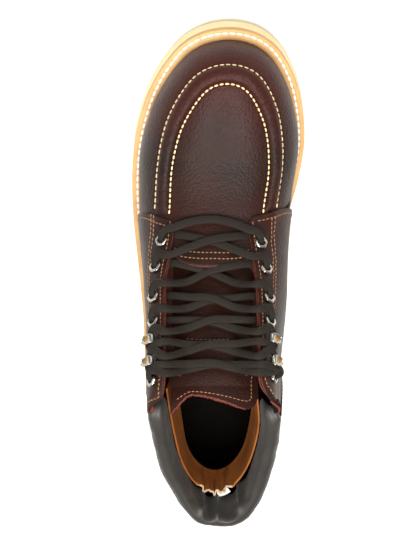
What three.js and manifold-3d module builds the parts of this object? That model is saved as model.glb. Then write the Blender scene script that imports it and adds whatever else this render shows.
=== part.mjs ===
// A left ankle-high work boot with a moccasin toe, standing empty on its wedge sole.
// Millimetres, +Z up. The toe points along -Y and the outer side of the foot is +X.
// The boot is made as a bootmaker makes it: outsole, midsole and welt, then an upper on the form of the last,
// its overlays, a padded collar, the tongue, the metal fittings and the lace.
import * as THREE from 'three';
import { mergeVertices } from 'three/addons/utils/BufferGeometryUtils.js';
import Module from 'manifold-3d';

const wasm = await Module();
wasm.setup();

// Driving dimensions
const soleLength = 300;
const ballWidth = 111;
const heelHeight = 29;
const toeSpring = 6;
const collarHeight = 176;
const backHeight = 155;
const seatGap = 0.3;
const faceTolerance = 0.03;

// Sole
const midsoleThickness = 3;
const weltThickness = 2.4;
const weltMarginToe = 7;
const weltMarginSide = 6;
const weltMarginHeel = 3.6;
const weltInnerWidth = 5;
const soleRib = 0.7;
const ribHalf = 0.07;
const treadBevel = 1.5;
const treadDepth = 2.5;
const treadGroove = 3.5;
const treadPitch = 20;
const treadChevron = 6;
const treadRim = 10;
const treadTaperStart = 0.8;
const ballStationEnd = 0.68;
const shankStart = 0.3;
const shankEnd = 0.42;
const insoleThickness = 3;
const insoleClear = 2.4;
const insoleLap = 0.05;

// Leather and padding
const upperWall = 2.2;
const overlayThickness = 1.4;
const rollHeight = 2.2;
const rollStart = 0.662;
const collarDepth = 36;
const collarCorner = 0.345;
const collarRun = 0.09;
const collarEnd = 0.325;
const collarPad = 12;
const collarGap = 0.4;
const throatBack = 0.33;
const tabStation = 0.587;
const tabCurve = 1.6;
const throatFloor = 0.34;
const tongueThickness = 3;
const tongueDepth = 8.8;
const tongueFootStation = 0.655;
const tongueTopStation = 0.403;
const tongueRise = 17;
const tongueLean = 1.1;

// Fittings and lace
const eyeletWidth = 9.4;
const eyeletBore = 5.4;
const eyeletFlange = 1;
const eyeletHole = 3.9;
const eyeletInset = 5.8;
const fittingSides = 6;
const fittingSight = 4;
const fittingLift = 0.6;
const hookWidth = 5.6;
const hookReach = 7;
const hookRise = 6;
const hookGauge = 1.1;
const hookInset = 6.4;
const hookPass = 5;
const laceWidth = 5.4;
const laceHeight = 2.5;
const laceClear = 1.8;
const laceOver = 1.2;
const laceNarrow = 0.72;
const laceEase = 0.45;
const hookRound = 4;
const barReach = 11;
const barSink = 1.5;

// A row for each station from heel to toe. station is a share of the sole's length; centre and half are shares of the
// ball width, of the sole's curved middle line and of its half width; rise is the outsole's top as a share of the heel
// height; box is how square the section of the upper is; swellOut and swellIn are how far the upper stands out past
// its foot on the outer and the inner side, as shares of the ball width.
const FORM = [
  { station: 0.0, centre: 0.027, half: 0.423, rise: 1.0, box: 2.4, swellOut: 0.018, swellIn: 0.018 },
  { station: 0.1, centre: 0.027, half: 0.432, rise: 1.0, box: 2.4, swellOut: 0.014, swellIn: 0.02 },
  { station: 0.2, centre: 0.033, half: 0.411, rise: 0.983, box: 2.4, swellOut: 0.01, swellIn: 0.03 },
  { station: 0.33, centre: 0.045, half: 0.401, rise: 0.879, box: 4.2, swellOut: 0.016, swellIn: 0.05 },
  { station: 0.45, centre: 0.05, half: 0.423, rise: 0.741, box: 4, swellOut: 0.016, swellIn: 0.06 },
  { station: 0.56, centre: 0.045, half: 0.456, rise: 0.62, box: 3.1, swellOut: 0.016, swellIn: 0.05 },
  { station: 0.65, centre: 0.018, half: 0.49, rise: 0.552, box: 2.7, swellOut: 0.016, swellIn: 0.022 },
  { station: 0.74, centre: -0.009, half: 0.5, rise: 0.534, box: 2.9, swellOut: 0.02, swellIn: 0.018 },
  { station: 0.84, centre: -0.031, half: 0.473, rise: 0.535, box: 3.0, swellOut: 0.02, swellIn: 0.018 },
  { station: 0.93, centre: -0.05, half: 0.437, rise: 0.56, box: 3.0, swellOut: 0.018, swellIn: 0.018 },
  { station: 1.0, centre: -0.06, half: 0.437, rise: 0.605, box: 3.0, swellOut: 0.018, swellIn: 0.018 },
];

// The ridge of the upper, from the top of the shaft's front down the instep to the toe. height is a share of the collar
// height and spine is the ridge's place across, as a share of the ball width.
const RIDGE = [
  { station: 0.3, height: 1.14, spine: 0.012 },
  { station: 0.39, height: 1.0, spine: 0.018 },
  { station: 0.42, height: 0.958, spine: 0.022 },
  { station: 0.455, height: 0.89, spine: 0.024 },
  { station: 0.493, height: 0.812, spine: 0.026 },
  { station: 0.527, height: 0.735, spine: 0.026 },
  { station: 0.567, height: 0.632, spine: 0.024 },
  { station: 0.61, height: 0.55, spine: 0.018 },
  { station: 0.66, height: 0.476, spine: 0.003 },
  { station: 0.735, height: 0.417, spine: -0.018 },
  { station: 0.8, height: 0.387, spine: -0.03 },
  { station: 0.873, height: 0.362, spine: -0.041 },
  { station: 1.0, height: 0.33, spine: -0.05 },
];

// The raised seam round the toe: how high up the section its outer and inner stitch lines lie, 0 at the welt and 1 on
// the ridge.
const SEAM = [
  { station: 0.6, outer: 0.5, inner: 0.645 },
  { station: 0.72, outer: 0.5, inner: 0.65 },
  { station: 0.82, outer: 0.49, inner: 0.67 },
  { station: 0.9, outer: 0.49, inner: 0.71 },
  { station: 1.0, outer: 0.49, inner: 0.76 },
];

// The edges of the throat, from the front of the flaps up to the corners of the shaft, as shares of the ball width.
const THROAT = [
  { station: 0.34, outer: 0.312, inner: -0.322 },
  { station: 0.37, outer: 0.305, inner: -0.288 },
  { station: 0.407, outer: 0.302, inner: -0.24 },
  { station: 0.5, outer: 0.3, inner: -0.228 },
  { station: 0.55, outer: 0.3, inner: -0.218 },
  { station: 0.6, outer: 0.262, inner: -0.185 },
  { station: 0.66, outer: 0.235, inner: -0.16 },
];

// The lacing: the place of each row of fittings along the boot, and what holds the lace there.
const ROWS = [
  { station: 0.603, fitting: 'eyelet' },
  { station: 0.56, fitting: 'eyelet' },
  { station: 0.52, fitting: 'eyelet' },
  { station: 0.487, fitting: 'eyelet' },
  { station: 0.46, fitting: 'hook' },
  { station: 0.428, fitting: 'hook' },
  { station: 0.401, fitting: 'eyelet' },
];

// The height of each rib groove round the outsole, as a share of the side's height.
const RIBS = [0.4, 0.66];

// The side outlines of the quarters and of the heel counter: station, and height as a share of the collar height.
const QUARTER = [
  { station: 0.655, height: 0.9 },
  { station: 0.655, height: 0.42 },
  { station: 0.64, height: 0.33 },
  { station: 0.6, height: 0.22 },
  { station: 0.56, height: 0.1 },
  { station: -0.1, height: 0.1 },
  { station: -0.1, height: 1.5 },
  { station: 0.655, height: 1.5 },
];
const COUNTER = [
  { station: 0.245, height: 0.1 },
  { station: 0.235, height: 0.28 },
  { station: 0.2, height: 0.4 },
  { station: 0.14, height: 0.49 },
  { station: 0.07, height: 0.535 },
  { station: 0.055, height: 0.6 },
  { station: 0.055, height: 1.2 },
  { station: -0.1, height: 1.2 },
  { station: -0.1, height: 0.1 },
];

// The section of the raised seam, from its outer stitch line to its inner one.
const ROLL = [
  { across: 0, rise: 0 },
  { across: 0.12, rise: 0.6 },
  { across: 0.5, rise: 1 },
  { across: 0.88, rise: 0.6 },
  { across: 1, rise: 0 },
  { across: 0.5, rise: 0 },
];

// The section of the padded collar: how far up from its seam to its top, and how far out as a share of its padding.
const COLLAR = [
  { up: 0, out: 0.02 },
  { up: 0.12, out: 0.1 },
  { up: 0.45, out: 0.16 },
  { up: 0.8, out: 0.13 },
  { up: 0.97, out: -0.12 },
  { up: 1, out: -0.45 },
  { up: 0.95, out: -0.8 },
  { up: 0.7, out: -1 },
  { up: 0.35, out: -0.9 },
  { up: 0, out: -0.3 },
];

// The rows of the tongue, from its foot under the vamp to its top edge: how far along, and half its width as a share
// of the ball width.
const TONGUE = [
  { share: 0, half: 0.3 },
  { share: 0.15, half: 0.33 },
  { share: 0.3, half: 0.35 },
  { share: 0.45, half: 0.355 },
  { share: 0.6, half: 0.355 },
  { share: 0.75, half: 0.35 },
  { share: 0.88, half: 0.335 },
  { share: 1, half: 0.31 },
  { share: 1.35, half: 0.3 },
  { share: 1.7, half: 0.31 },
  { share: 1.9, half: 0.3 },
  { share: 2, half: 0.27 },
];
const ACROSS = [-1, -0.7, -0.35, 0, 0.35, 0.7, 1];
const COLLAR_STEPS = [0.97, 0.9, 0.83, 0.76, 0.7, 0.5, 0.25, 0];
const THROAT_STEPS = [0.34, 0.355, 0.37, 0.388, 0.407, 0.45, 0.5, 0.55, 0.575, tabStation];
const THROAT_FRONT = [0.63, 0.66, 0.72];

// The run of the lace: each strand comes up from under one flap and goes down over the other. side is 1 for the outer
// flap, rows count from the toe, and lift is how far a strand rides over the one that it crosses.
const STRANDS = [
  { side: -1, row: 0, next: 1, lift: 0.7 },
  { side: 1, row: 0, next: 1, lift: 0 },
  { side: -1, row: 1, next: 2, lift: 0.7 },
  { side: 1, row: 1, next: 2, lift: 0 },
  { side: 1, row: 2, next: 3, lift: 0.7 },
  { side: -1, row: 2, next: 3, lift: 0 },
  { side: -1, row: 3, next: 4, lift: 0.7 },
  { side: 1, row: 3, next: 4, lift: 0 },
  { side: -1, row: 4, next: 5, lift: 0.7 },
  { side: 1, row: 4, next: 5, lift: 0 },
  { side: 1, row: 5, next: 6, lift: 0.7 },
  { side: -1, row: 5, next: 6, lift: 0 },
];
const firstHook = 4;

// The points of a strand over the tongue, and of the bar in front, as shares of the way from one flap to the other.
const CROSSING = [0.02, 0.26, 0.5, 0.76, 0.97];
const BAR = [0.04, 0.2, 0.4, 0.6, 0.8, 0.96];
const barTuck = 0.12;

// The end of the vamp's tab under the lace: points across it, as shares of half its width.
const TAB = [0.85, 0.45, -0.05, -0.5, -0.9];

// How finely the shapes are divided, and how far a point on the upper is searched for.
const sectionSearch = 0.1;
const sectionLow = 0.3;
const laceSides = 4;
const laceSpread = 1.26;
const rollSteps = 26;
const collarSteps = 22;

// The form of the shaft and of the crown: stations, shares of the sole's length and of the ball width, and how square
// its curves are.
const shaftCentreShare = 0.011;
const shaftSideStation = 0.333;
const shaftHalfShare = 0.365;
const shaftFrontStation = 0.39;
const shaftFrontSquare = 2.4;
const shaftBackSquare = 2;
const shaftArcEnd = 0.45;
const straightEnd = 0.2;
const crownStart = 0.37;
const instepEven = 0.62;
const shaftBackStation = 0.037;
const toePoleStation = 0.873;
const toePoleStart = 0.7;
const ankleWaist = 2.4;
const outlineRound = 6;
const shaftCentre = ballWidth * shaftCentreShare;
const shaftHalfWidth = ballWidth * shaftHalfShare;
const shaftBackSetting = soleLength * shaftBackStation;

function along(rows, column) {
  // A smooth curve through one column of a table, by station.
  return (station) => {
    const last = rows.length - 1;
    let i = 0;
    while (i < last - 1 && station > rows[i + 1].station) i += 1;
    const [a, b] = [rows[i], rows[i + 1]];
    const before = rows[Math.max(i - 1, 0)];
    const after = rows[Math.min(i + 2, last)];
    const span = b.station - a.station;
    const t = Math.min(Math.max((station - a.station) / span, 0), 1);
    const slopeA = ((b[column] - before[column]) / (b.station - before.station)) * span;
    const slopeB = ((after[column] - a[column]) / (after.station - a.station)) * span;
    const t2 = t * t;
    const t3 = t2 * t;
    return (2 * t3 - 3 * t2 + 1) * a[column] + (t3 - 2 * t2 + t) * slopeA
      + (3 * t2 - 2 * t3) * b[column] + (t3 - t2) * slopeB;
  };
}

const formCentre = along(FORM, 'centre');
const formHalf = along(FORM, 'half');
const formRise = along(FORM, 'rise');
const formBox = along(FORM, 'box');
const formSwellOut = along(FORM, 'swellOut');
const formSwellIn = along(FORM, 'swellIn');
const ridgeHeight = along(RIDGE, 'height');
const ridgeSpine = along(RIDGE, 'spine');
const seamOuter = along(SEAM, 'outer');
const seamInner = along(SEAM, 'inner');

const mix = (a, b, t) => a + (b - a) * t;
const smooth = (low, high, value) => {
  const t = Math.min(Math.max((value - low) / (high - low), 0), 1);
  return t * t * (3 - 2 * t);
};

// Places are kept as x across, s along from the heel and z up, and turned into the boot's frame at the end.
const place = (x, s, z) => new THREE.Vector3(x, soleLength / 2 - s, z);

const outsoleTop = (s) => heelHeight * formRise(s / soleLength);
const midsoleTop = (s) => outsoleTop(s) + seatGap + midsoleThickness;
const weltTop = (s) => midsoleTop(s) + seatGap + weltThickness;
const upperFoot = (s) => weltTop(s) + seatGap;

function tread(s) {
  // The height of the sole's underside: flat from heel to ball, then sprung up to the toe.
  const share = Math.max(s / soleLength - ballStationEnd, 0) / (1 - ballStationEnd);
  return toeSpring * share * share;
}

function wrap(turn) {
  return turn > 1 ? turn - 2 : turn < -1 ? turn + 2 : turn;
}

const stationOf = (turn) => (1 - Math.cos(Math.PI * Math.abs(turn))) / 2;
const turnOf = (station) => Math.acos(1 - 2 * station) / Math.PI;

function solePoint(turn) {
  // The sole's outline: turn 0 is the back of the heel, 0 to 1 the outer side, 1 the toe and -1 to 0 the inner side.
  const t = wrap(turn);
  const station = stationOf(t);
  const round = Math.sqrt(Math.max(1 - Math.abs(2 * station - 1) ** outlineRound, 0));
  const x = ballWidth * (formCentre(station) + Math.sign(t) * formHalf(station) * round);
  return new THREE.Vector2(x, station * soleLength);
}

function soleNormal(turn) {
  const step = 1e-3;
  const d = solePoint(turn + step).sub(solePoint(turn - step));
  return new THREE.Vector2(d.y, -d.x).normalize();
}

function outline(turn, inset) {
  return solePoint(turn).addScaledVector(soleNormal(turn), -inset);
}

function weltMargin(station) {
  const front = mix(weltMarginSide, weltMarginToe, smooth(0.75, 1, station));
  return mix(weltMarginHeel, front, smooth(0.05, 0.4, station));
}

function collarLine(s) {
  // The height of the shaft's top edge, from the back to the front corners.
  const share = (s - shaftBackSetting) / (soleLength * shaftFrontStation - shaftBackSetting);
  return mix(backHeight, collarHeight, Math.min(Math.max(share, 0), 1) ** 1.25);
}

function topPoint(turn) {
  // Where a section of the upper ends: on the ridge, or on the shaft's top edge behind it.
  const station = stationOf(turn);
  if (station >= shaftArcEnd) {
    const near = Math.max(instepEven - station, 0) / (instepEven - shaftArcEnd);
    const over = Math.max(station - toePoleStart, 0) / (1 - toePoleStart);
    const top = station - (shaftArcEnd - shaftFrontStation) * near * near - (1 - toePoleStation) * over * over;
    return { x: ballWidth * ridgeSpine(top), s: top * soleLength, z: collarHeight * ridgeHeight(top), open: 0 };
  }
  const side = shaftSideStation * soleLength;
  const front = shaftFrontStation * soleLength;
  const open = 1 - smooth(straightEnd, crownStart, station);
  if (station < shaftSideStation) {
    const s = mix(shaftBackSetting, side, station / shaftSideStation);
    const share = (side - s) / (side - shaftBackSetting);
    const half = shaftHalfWidth * Math.sqrt(Math.max(1 - share ** shaftBackSquare, 0));
    return { x: shaftCentre + Math.sign(turn) * half, s, z: collarLine(s), open };
  }
  const round = ((station - shaftSideStation) / (shaftArcEnd - shaftSideStation)) * (Math.PI / 2);
  const s = mix(side, front, Math.sin(round) ** (2 / shaftFrontSquare));
  const half = shaftHalfWidth * Math.max(Math.cos(round), 0) ** (2 / shaftFrontSquare);
  return {
    x: mix(shaftCentre, ballWidth * ridgeSpine(shaftFrontStation), round / (Math.PI / 2)) + Math.sign(turn) * half,
    s,
    z: collarLine(s),
    open,
  };
}

function bulge(station, side, rise) {
  // How far the side of the upper stands out, by how high up it is.
  const swell = ballWidth * (side >= 0 ? formSwellOut(station) : formSwellIn(station));
  const low = Math.sin(Math.PI * rise ** 0.75);
  const waist = Math.sin(Math.PI * Math.min(Math.max((rise - 0.35) / 0.65, 0), 1));
  return swell * low - ankleWaist * waist * (1 - smooth(0.25, 0.45, station));
}

function surface(turn, v) {
  // The outer form of the upper: v runs from its foot on the welt, 0, to the ridge or the top edge, 1.
  const t = wrap(turn);
  const station = stationOf(t);
  const foot = outline(t, weltMargin(station));
  const top = topPoint(t);
  const box = formBox(station);
  const angle = (v * Math.PI) / 2;
  const away = mix(Math.max(Math.cos(angle), 0) ** (2 / box), 1 - v, top.open);
  const rise = mix(Math.sin(angle) ** (2 / box), v, top.open);
  const out = soleNormal(t).multiplyScalar(bulge(station, t, rise));
  const x = mix(top.x, foot.x, away) + out.x;
  const s = mix(top.s, foot.y, away) + out.y;
  return place(x, s, mix(upperFoot(foot.y), top.z, rise));
}

function surfaceNormal(turn, v) {
  const stepT = 2e-3;
  const stepV = 4e-3;
  const low = Math.max(v - stepV, 0);
  const high = Math.min(v + stepV, 1 - 1e-3);
  const dt = surface(turn + stepT, Math.min(v, 0.985)).sub(surface(turn - stepT, Math.min(v, 0.985)));
  const dv = surface(turn, high).sub(surface(turn, low));
  return dv.cross(dt).normalize();
}

const STATIONS = [0, 0.006, 0.024, 0.058, 0.105, 0.165, 0.23, 0.29, 0.333, 0.365, 0.395, 0.425, 0.45, 0.49,
  0.54, 0.6, 0.66, 0.72, 0.78, 0.84, 0.89, 0.93, 0.963, 0.985, 0.996, 1];
const INNER_STATIONS = [0, 0.024, 0.105, 0.23, 0.333, 0.365, 0.395, 0.425, 0.45, 0.49, 0.54, 0.6, 0.66, 0.78, 0.89,
  0.963, 0.996, 1];
const LEVELS = [0, 0.12, 0.27, 0.42, 0.57, 0.71, 0.86, 1];
const INNER_LEVELS = [0, 0.27, 0.57, 0.86, 1];

const around = (stations) => [
  ...stations.map(turnOf),
  ...stations.slice(1, -1).reverse().map((station) => -turnOf(station)),
];
const TURNS = around(STATIONS);
const INNER_TURNS = around(INNER_STATIONS);

function solidOf(positions, triangles) {
  // A closed solid from its corners and faces, turned to face out.
  let geometry = new THREE.BufferGeometry();
  geometry.setAttribute('position', new THREE.Float32BufferAttribute(positions.flatMap((p) => [p.x, p.y, p.z]), 3));
  geometry.setIndex(triangles.flat());
  geometry = mergeVertices(geometry, 1e-3);
  const index = geometry.index.array;
  const kept = [];
  for (let i = 0; i < index.length; i += 3) {
    const [a, b, c] = [index[i], index[i + 1], index[i + 2]];
    if (a !== b && b !== c && a !== c) kept.push(a, b, c);
  }
  const corners = geometry.attributes.position;
  let volume = 0;
  for (let i = 0; i < kept.length; i += 3) {
    const [a, b, c] = [0, 1, 2].map((k) => new THREE.Vector3().fromBufferAttribute(corners, kept[i + k]));
    volume += a.dot(b.cross(c));
  }
  if (volume < 0) kept.reverse();
  const mesh = new wasm.Mesh({
    numProp: 3,
    vertProperties: new Float32Array(corners.array),
    triVerts: new Uint32Array(kept),
  });
  return new wasm.Manifold(mesh);
}

function solidOfGeometry(geometry) {
  const bare = geometry.clone();
  bare.deleteAttribute('normal');
  bare.deleteAttribute('uv');
  const merged = mergeVertices(bare, 1e-4);
  return new wasm.Manifold(new wasm.Mesh({
    numProp: 3,
    vertProperties: new Float32Array(merged.attributes.position.array),
    triVerts: new Uint32Array(merged.index.array),
  }));
}

function geometryOf(solid) {
  const mesh = solid.simplify(faceTolerance).getMesh();
  const positions = new Float32Array(mesh.numVert * 3);
  for (let i = 0; i < mesh.numVert; i += 1) {
    positions.set(mesh.vertProperties.subarray(i * mesh.numProp, i * mesh.numProp + 3), i * 3);
  }
  const geometry = new THREE.BufferGeometry();
  geometry.setAttribute('position', new THREE.BufferAttribute(positions, 3));
  geometry.setIndex(new THREE.BufferAttribute(new Uint32Array(mesh.triVerts), 1));
  geometry.computeVertexNormals();
  return geometry;
}

function loft(rings, closedEnds = 'across') {
  // Joins rings of equal count into a closed solid. Ends are closed across, by pairs of opposite points.
  const count = rings[0].length;
  const positions = rings.flat();
  const triangles = [];
  for (let j = 0; j < rings.length - 1; j += 1) {
    for (let i = 0; i < count; i += 1) {
      const next = (i + 1) % count;
      const [a, b, c, d] = [j * count + i, j * count + next, (j + 1) * count + next, (j + 1) * count + i];
      triangles.push([a, b, c], [a, c, d]);
    }
  }
  const end = (offset, flip) => {
    const half = count / 2;
    for (let i = 0; i < half; i += 1) {
      const quad = closedEnds === 'across'
        ? [i, i + 1, (count - i - 1) % count, (count - i) % count]
        : [0, i, i + 1, i + 1];
      const [a, b, c, d] = quad.map((k) => offset + k);
      triangles.push(...(flip ? [[a, b, c], [a, c, d]] : [[a, c, b], [a, d, c]]));
    }
  };
  if (closedEnds === 'across') {
    end(0, false);
    end((rings.length - 1) * count, true);
  } else {
    for (const [offset, flip] of [[0, false], [(rings.length - 1) * count, true]]) {
      for (let i = 1; i < count - 1; i += 1) {
        const face = [offset, offset + i, offset + i + 1];
        triangles.push(flip ? face : [face[0], face[2], face[1]]);
      }
    }
  }
  return solidOf(positions, triangles);
}

function upperForm(offset, extendFoot, extendTop, turns = TURNS, levels = LEVELS) {
  // The upper's form, grown outwards by offset and lengthened past its foot and its top edge.
  const rings = levels.map((v) => turns.map((turn) => {
    if (v === 1 && stationOf(turn) >= shaftArcEnd) {
      return surface(turn, 1).addScaledVector(ridgeNormal(turn), offset);
    }
    const normal = surfaceNormal(turn, v);
    if (v === 0 || v === 1) normal.setZ(0).normalize();
    const point = surface(turn, v).addScaledVector(normal, offset);
    if (v === 1) point.z = collarLine(soleLength / 2 - point.y) + extendTop;
    return point;
  }));
  if (extendFoot > 0) rings.unshift(rings[0].map((p) => new THREE.Vector3(p.x, p.y, p.z - extendFoot)));
  return loft(rings);
}

function ridgeNormal(turn) {
  // Square to the ridge line in the boot's middle plane, the same seen from both sides.
  const step = 2e-3;
  const ahead = surface(Math.min(Math.abs(turn) + step, 1), 1);
  const behind = surface(Math.abs(turn) - step, 1);
  const d = ahead.sub(behind);
  return new THREE.Vector3(0, d.z, -d.y).normalize().multiplyScalar(d.y < 0 ? 1 : -1);
}

const throatOuter = along(THROAT, 'outer');
const throatInner = along(THROAT, 'inner');

function throatEdge(side, s) {
  const share = side > 0 ? throatOuter(s / soleLength) : throatInner(s / soleLength);
  return ballWidth * share;
}

function halve(low, high, isBelow, passes = 18) {
  // The value between low and high where isBelow stops being true.
  let [from, to] = [low, high];
  for (let pass = 0; pass < passes; pass += 1) {
    const middle = (from + to) / 2;
    if (isBelow(middle)) from = middle;
    else to = middle;
  }
  return (from + to) / 2;
}

function onUpper(x, s) {
  // The point and the outward normal of the upper's form that lie above x and s, near the ridge.
  const height = (atX, atS) => {
    const side = atX >= ballWidth * ridgeSpine(atS / soleLength) ? 1 : -1;
    const onSection = (station) => {
      const turn = side * turnOf(station);
      return surface(turn, halve(sectionLow, 1, (v) => (surface(turn, v).x - atX) * side > 0));
    };
    const near = atS / soleLength;
    const isBehind = (share) => soleLength / 2 - onSection(share).y < atS;
    const station = halve(Math.max(near - sectionSearch, 0.02), Math.min(near + sectionSearch, 0.98), isBehind);
    return onSection(station).z;
  };
  const step = 0.8;
  const rise = height(x, s);
  const acrossSlope = (height(x + step, s) - height(x - step, s)) / (2 * step);
  const alongSlope = (height(x, s + step) - height(x, s - step)) / (2 * step);
  return {
    point: place(x, s, rise),
    normal: new THREE.Vector3(-acrossSlope, alongSlope, 1).normalize(),
  };
}

function prism(points, plane) {
  // A tall prism on a plan outline (x and s), or one right across the boot on a side outline (s and z).
  const reach = 2 * soleLength;
  const flat = plane === 'plan'
    ? points.map(([x, s]) => new THREE.Vector2(x, soleLength / 2 - s))
    : points.map(([s, z]) => new THREE.Vector2(soleLength / 2 - s, z));
  const geometry = new THREE.ExtrudeGeometry(new THREE.Shape(flat), { depth: reach, bevelEnabled: false });
  geometry.translate(0, 0, -reach / 2);
  if (plane === 'side') {
    geometry.rotateX(Math.PI / 2);
    geometry.rotateZ(Math.PI / 2);
  }
  return solidOfGeometry(geometry);
}

function plate(rings) {
  return loft(rings.map(({ inset, height, turns = TURNS }) => turns.map((turn) => {
    const edge = outline(turn, typeof inset === 'function' ? inset(stationOf(wrap(turn))) : inset);
    return place(edge.x, edge.y, height(edge.y));
  })));
}

function makeOutsole() {
  // A wedge of moulded rubber: ribs round its side and grooves across its tread.
  const rings = [];
  const share = (part) => (s) => mix(tread(s), outsoleTop(s), part);
  rings.push({ inset: treadBevel, height: tread });
  rings.push({ inset: 0, height: (s) => tread(s) + treadBevel });
  for (const part of RIBS) {
    rings.push({ inset: 0, height: share(part - ribHalf) });
    rings.push({ inset: soleRib, height: share(part) });
  }
  rings.push({ inset: 0, height: outsoleTop });
  let body = plate(rings);
  for (let s = treadPitch * 1.5; s < soleLength - treadPitch; s += treadPitch) {
    if (s > soleLength * shankStart && s < soleLength * shankEnd) continue;
    const station = s / soleLength;
    const half = ballWidth * formHalf(station) - treadRim - 2 * treadPitch * Math.max(0, station - treadTaperStart);
    const middle = ballWidth * formCentre(station);
    const chevron = [[-half, 0], [0, treadChevron], [half, 0], [half, treadGroove], [0, treadGroove + treadChevron],
      [-half, treadGroove]];
    const groove = prism(chevron.map(([x, ahead]) => [middle + x, s + ahead]), 'plan');
    const floor = tread(s) + treadDepth;
    const below = prism([[0, -soleLength], [soleLength, -soleLength], [soleLength, floor], [0, floor]], 'side');
    body = body.subtract(groove.intersect(below));
  }
  return body;
}

function makeMidsole() {
  return plate([
    { inset: 0, height: (s) => outsoleTop(s) + seatGap },
    { inset: 0, height: midsoleTop },
  ]);
}

function makeWelt() {
  const low = (s) => midsoleTop(s) + seatGap;
  const solid = plate([{ inset: 0, height: low }, { inset: 0, height: weltTop }]);
  const inner = (station) => weltMargin(station) + weltInnerWidth;
  return solid.subtract(plate([
    { inset: inner, height: (s) => low(s) - weltThickness },
    { inset: inner, height: (s) => weltTop(s) + weltThickness },
  ]));
}

function makeInsole() {
  // A footbed that fills the ring of the welt and lies over its inner edge.
  const within = (station) => weltMargin(station) + weltInnerWidth + 2 * seatGap;
  const over = (station) => weltMargin(station) + upperWall + insoleClear;
  return plate([
    { inset: within, height: (s) => midsoleTop(s) + seatGap },
    { inset: within, height: (s) => weltTop(s) + seatGap - insoleLap },
    { inset: over, height: (s) => weltTop(s) + seatGap },
    { inset: over, height: (s) => weltTop(s) + seatGap + insoleThickness },
  ]);
}

function collarSeam(s) {
  // The height of the seam where the leather of the quarters ends and the padded collar begins.
  const ahead = smooth(collarCorner * soleLength, (collarCorner - collarRun) * soleLength, s);
  return collarLine(s) - collarDepth * ahead;
}

const seamLine = [
  [soleLength * collarCorner, collarLine(soleLength * collarCorner)],
  ...COLLAR_STEPS.map((share) => [soleLength * collarCorner * share, collarSeam(soleLength * collarCorner * share)]),
  [-soleLength, collarSeam(0)],
];
const belowCollar = prism([
  [2 * soleLength, -soleLength],
  [2 * soleLength, collarHeight],
  [soleLength * shaftFrontStation, collarHeight],
  ...seamLine,
  [-soleLength, -soleLength],
], 'side');
const aboveCollar = prism([
  [soleLength * collarCorner, soleLength],
  ...seamLine.map(([s, z]) => [s, z + collarGap]),
  [-soleLength, soleLength],
], 'side');

const aboveTab = prism([
  [0, throatFloor * collarHeight],
  [2 * soleLength, throatFloor * collarHeight],
  [2 * soleLength, soleLength],
  [0, soleLength],
], 'side');

function throatPlan(front, stations) {
  const outer = stations.map((station) => [throatEdge(1, station * soleLength), station * soleLength]);
  const inner = stations.map((station) => [throatEdge(-1, station * soleLength), station * soleLength]);
  return [...outer, ...front, ...inner.reverse()];
}

function makeUpper() {
  // The vamp and the lining of the quarters in one wall, open at the collar, the throat and underneath.
  const inside = upperForm(-upperWall, 4 * upperWall, 8 * upperWall, INNER_TURNS, INNER_LEVELS);
  const shell = upperForm(0, 0, 4 * upperWall).subtract(inside);
  const tabEnd = tabStation * soleLength;
  const middle = (throatEdge(1, tabEnd) + throatEdge(-1, tabEnd)) / 2;
  const half = (throatEdge(1, tabEnd) - throatEdge(-1, tabEnd)) / 2;
  const tab = TAB.map((share, i) => [middle + half * share, tabEnd + tabCurve * Math.abs(i - 2) ** 1.5]);
  const throat = prism(throatPlan(tab, [throatBack, ...THROAT_STEPS]), 'plan');
  let body = shell.subtract(throat.intersect(aboveTab)).intersect(belowCollar);
  for (const spot of EYELETS) body = body.subtract(holeAt(spot));
  return largest(body);
}

function largest(solid) {
  const pieces = solid.decompose();
  pieces.sort((a, b) => volumeOf(b) - volumeOf(a));
  return pieces[0];
}

function volumeOf(solid) {
  return typeof solid.volume === 'function' ? solid.volume() : solid.getProperties().volume;
}

function overlay(low, high, side) {
  return upperForm(high, 0, 4 * upperWall).subtract(upperForm(low, upperWall, 8 * upperWall)).intersect(side);
}

function makeQuarter(side) {
  const [low, high] = [seatGap, seatGap + overlayThickness];
  const half = prism([[0, -soleLength], [side * soleLength, -soleLength], [side * soleLength, 2 * soleLength],
    [0, 2 * soleLength]].map(([x, s]) => [x + side * seatGap, s]), 'plan');
  const outlineSide = prism(QUARTER.map(({ station, height }) => [station * soleLength, height * collarHeight]), 'side');
  const throat = prism(throatPlan([], [throatBack, ...THROAT_STEPS, ...THROAT_FRONT]), 'plan').intersect(aboveTab);
  let body = overlay(low, high, half).intersect(outlineSide).subtract(throat).intersect(belowCollar);
  for (const spot of EYELETS) body = body.subtract(holeAt(spot));
  return largest(body);
}

function makeCounter() {
  const low = 2 * seatGap + overlayThickness;
  const outlineSide = prism(COUNTER.map(({ station, height }) => [station * soleLength, height * collarHeight]), 'side');
  return largest(overlay(low, low + overlayThickness, outlineSide).intersect(belowCollar));
}

function makeRoll() {
  // The raised seam between the wall and the plug of the moccasin toe.
  const rings = [];
  const from = turnOf(rollStart);
  for (let i = 0; i <= rollSteps; i += 1) {
    const turn = mix(from, 2 - from, i / rollSteps);
    const station = stationOf(wrap(turn));
    const [low, high] = [seamOuter(station), seamInner(station)];
    rings.push(ROLL.map(({ across, rise }) => {
      const v = mix(low, high, across);
      return surface(turn, v).addScaledVector(surfaceNormal(turn, v), 2 * seatGap + rollHeight * rise);
    }));
  }
  return loft(rings, 'fan');
}

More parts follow.
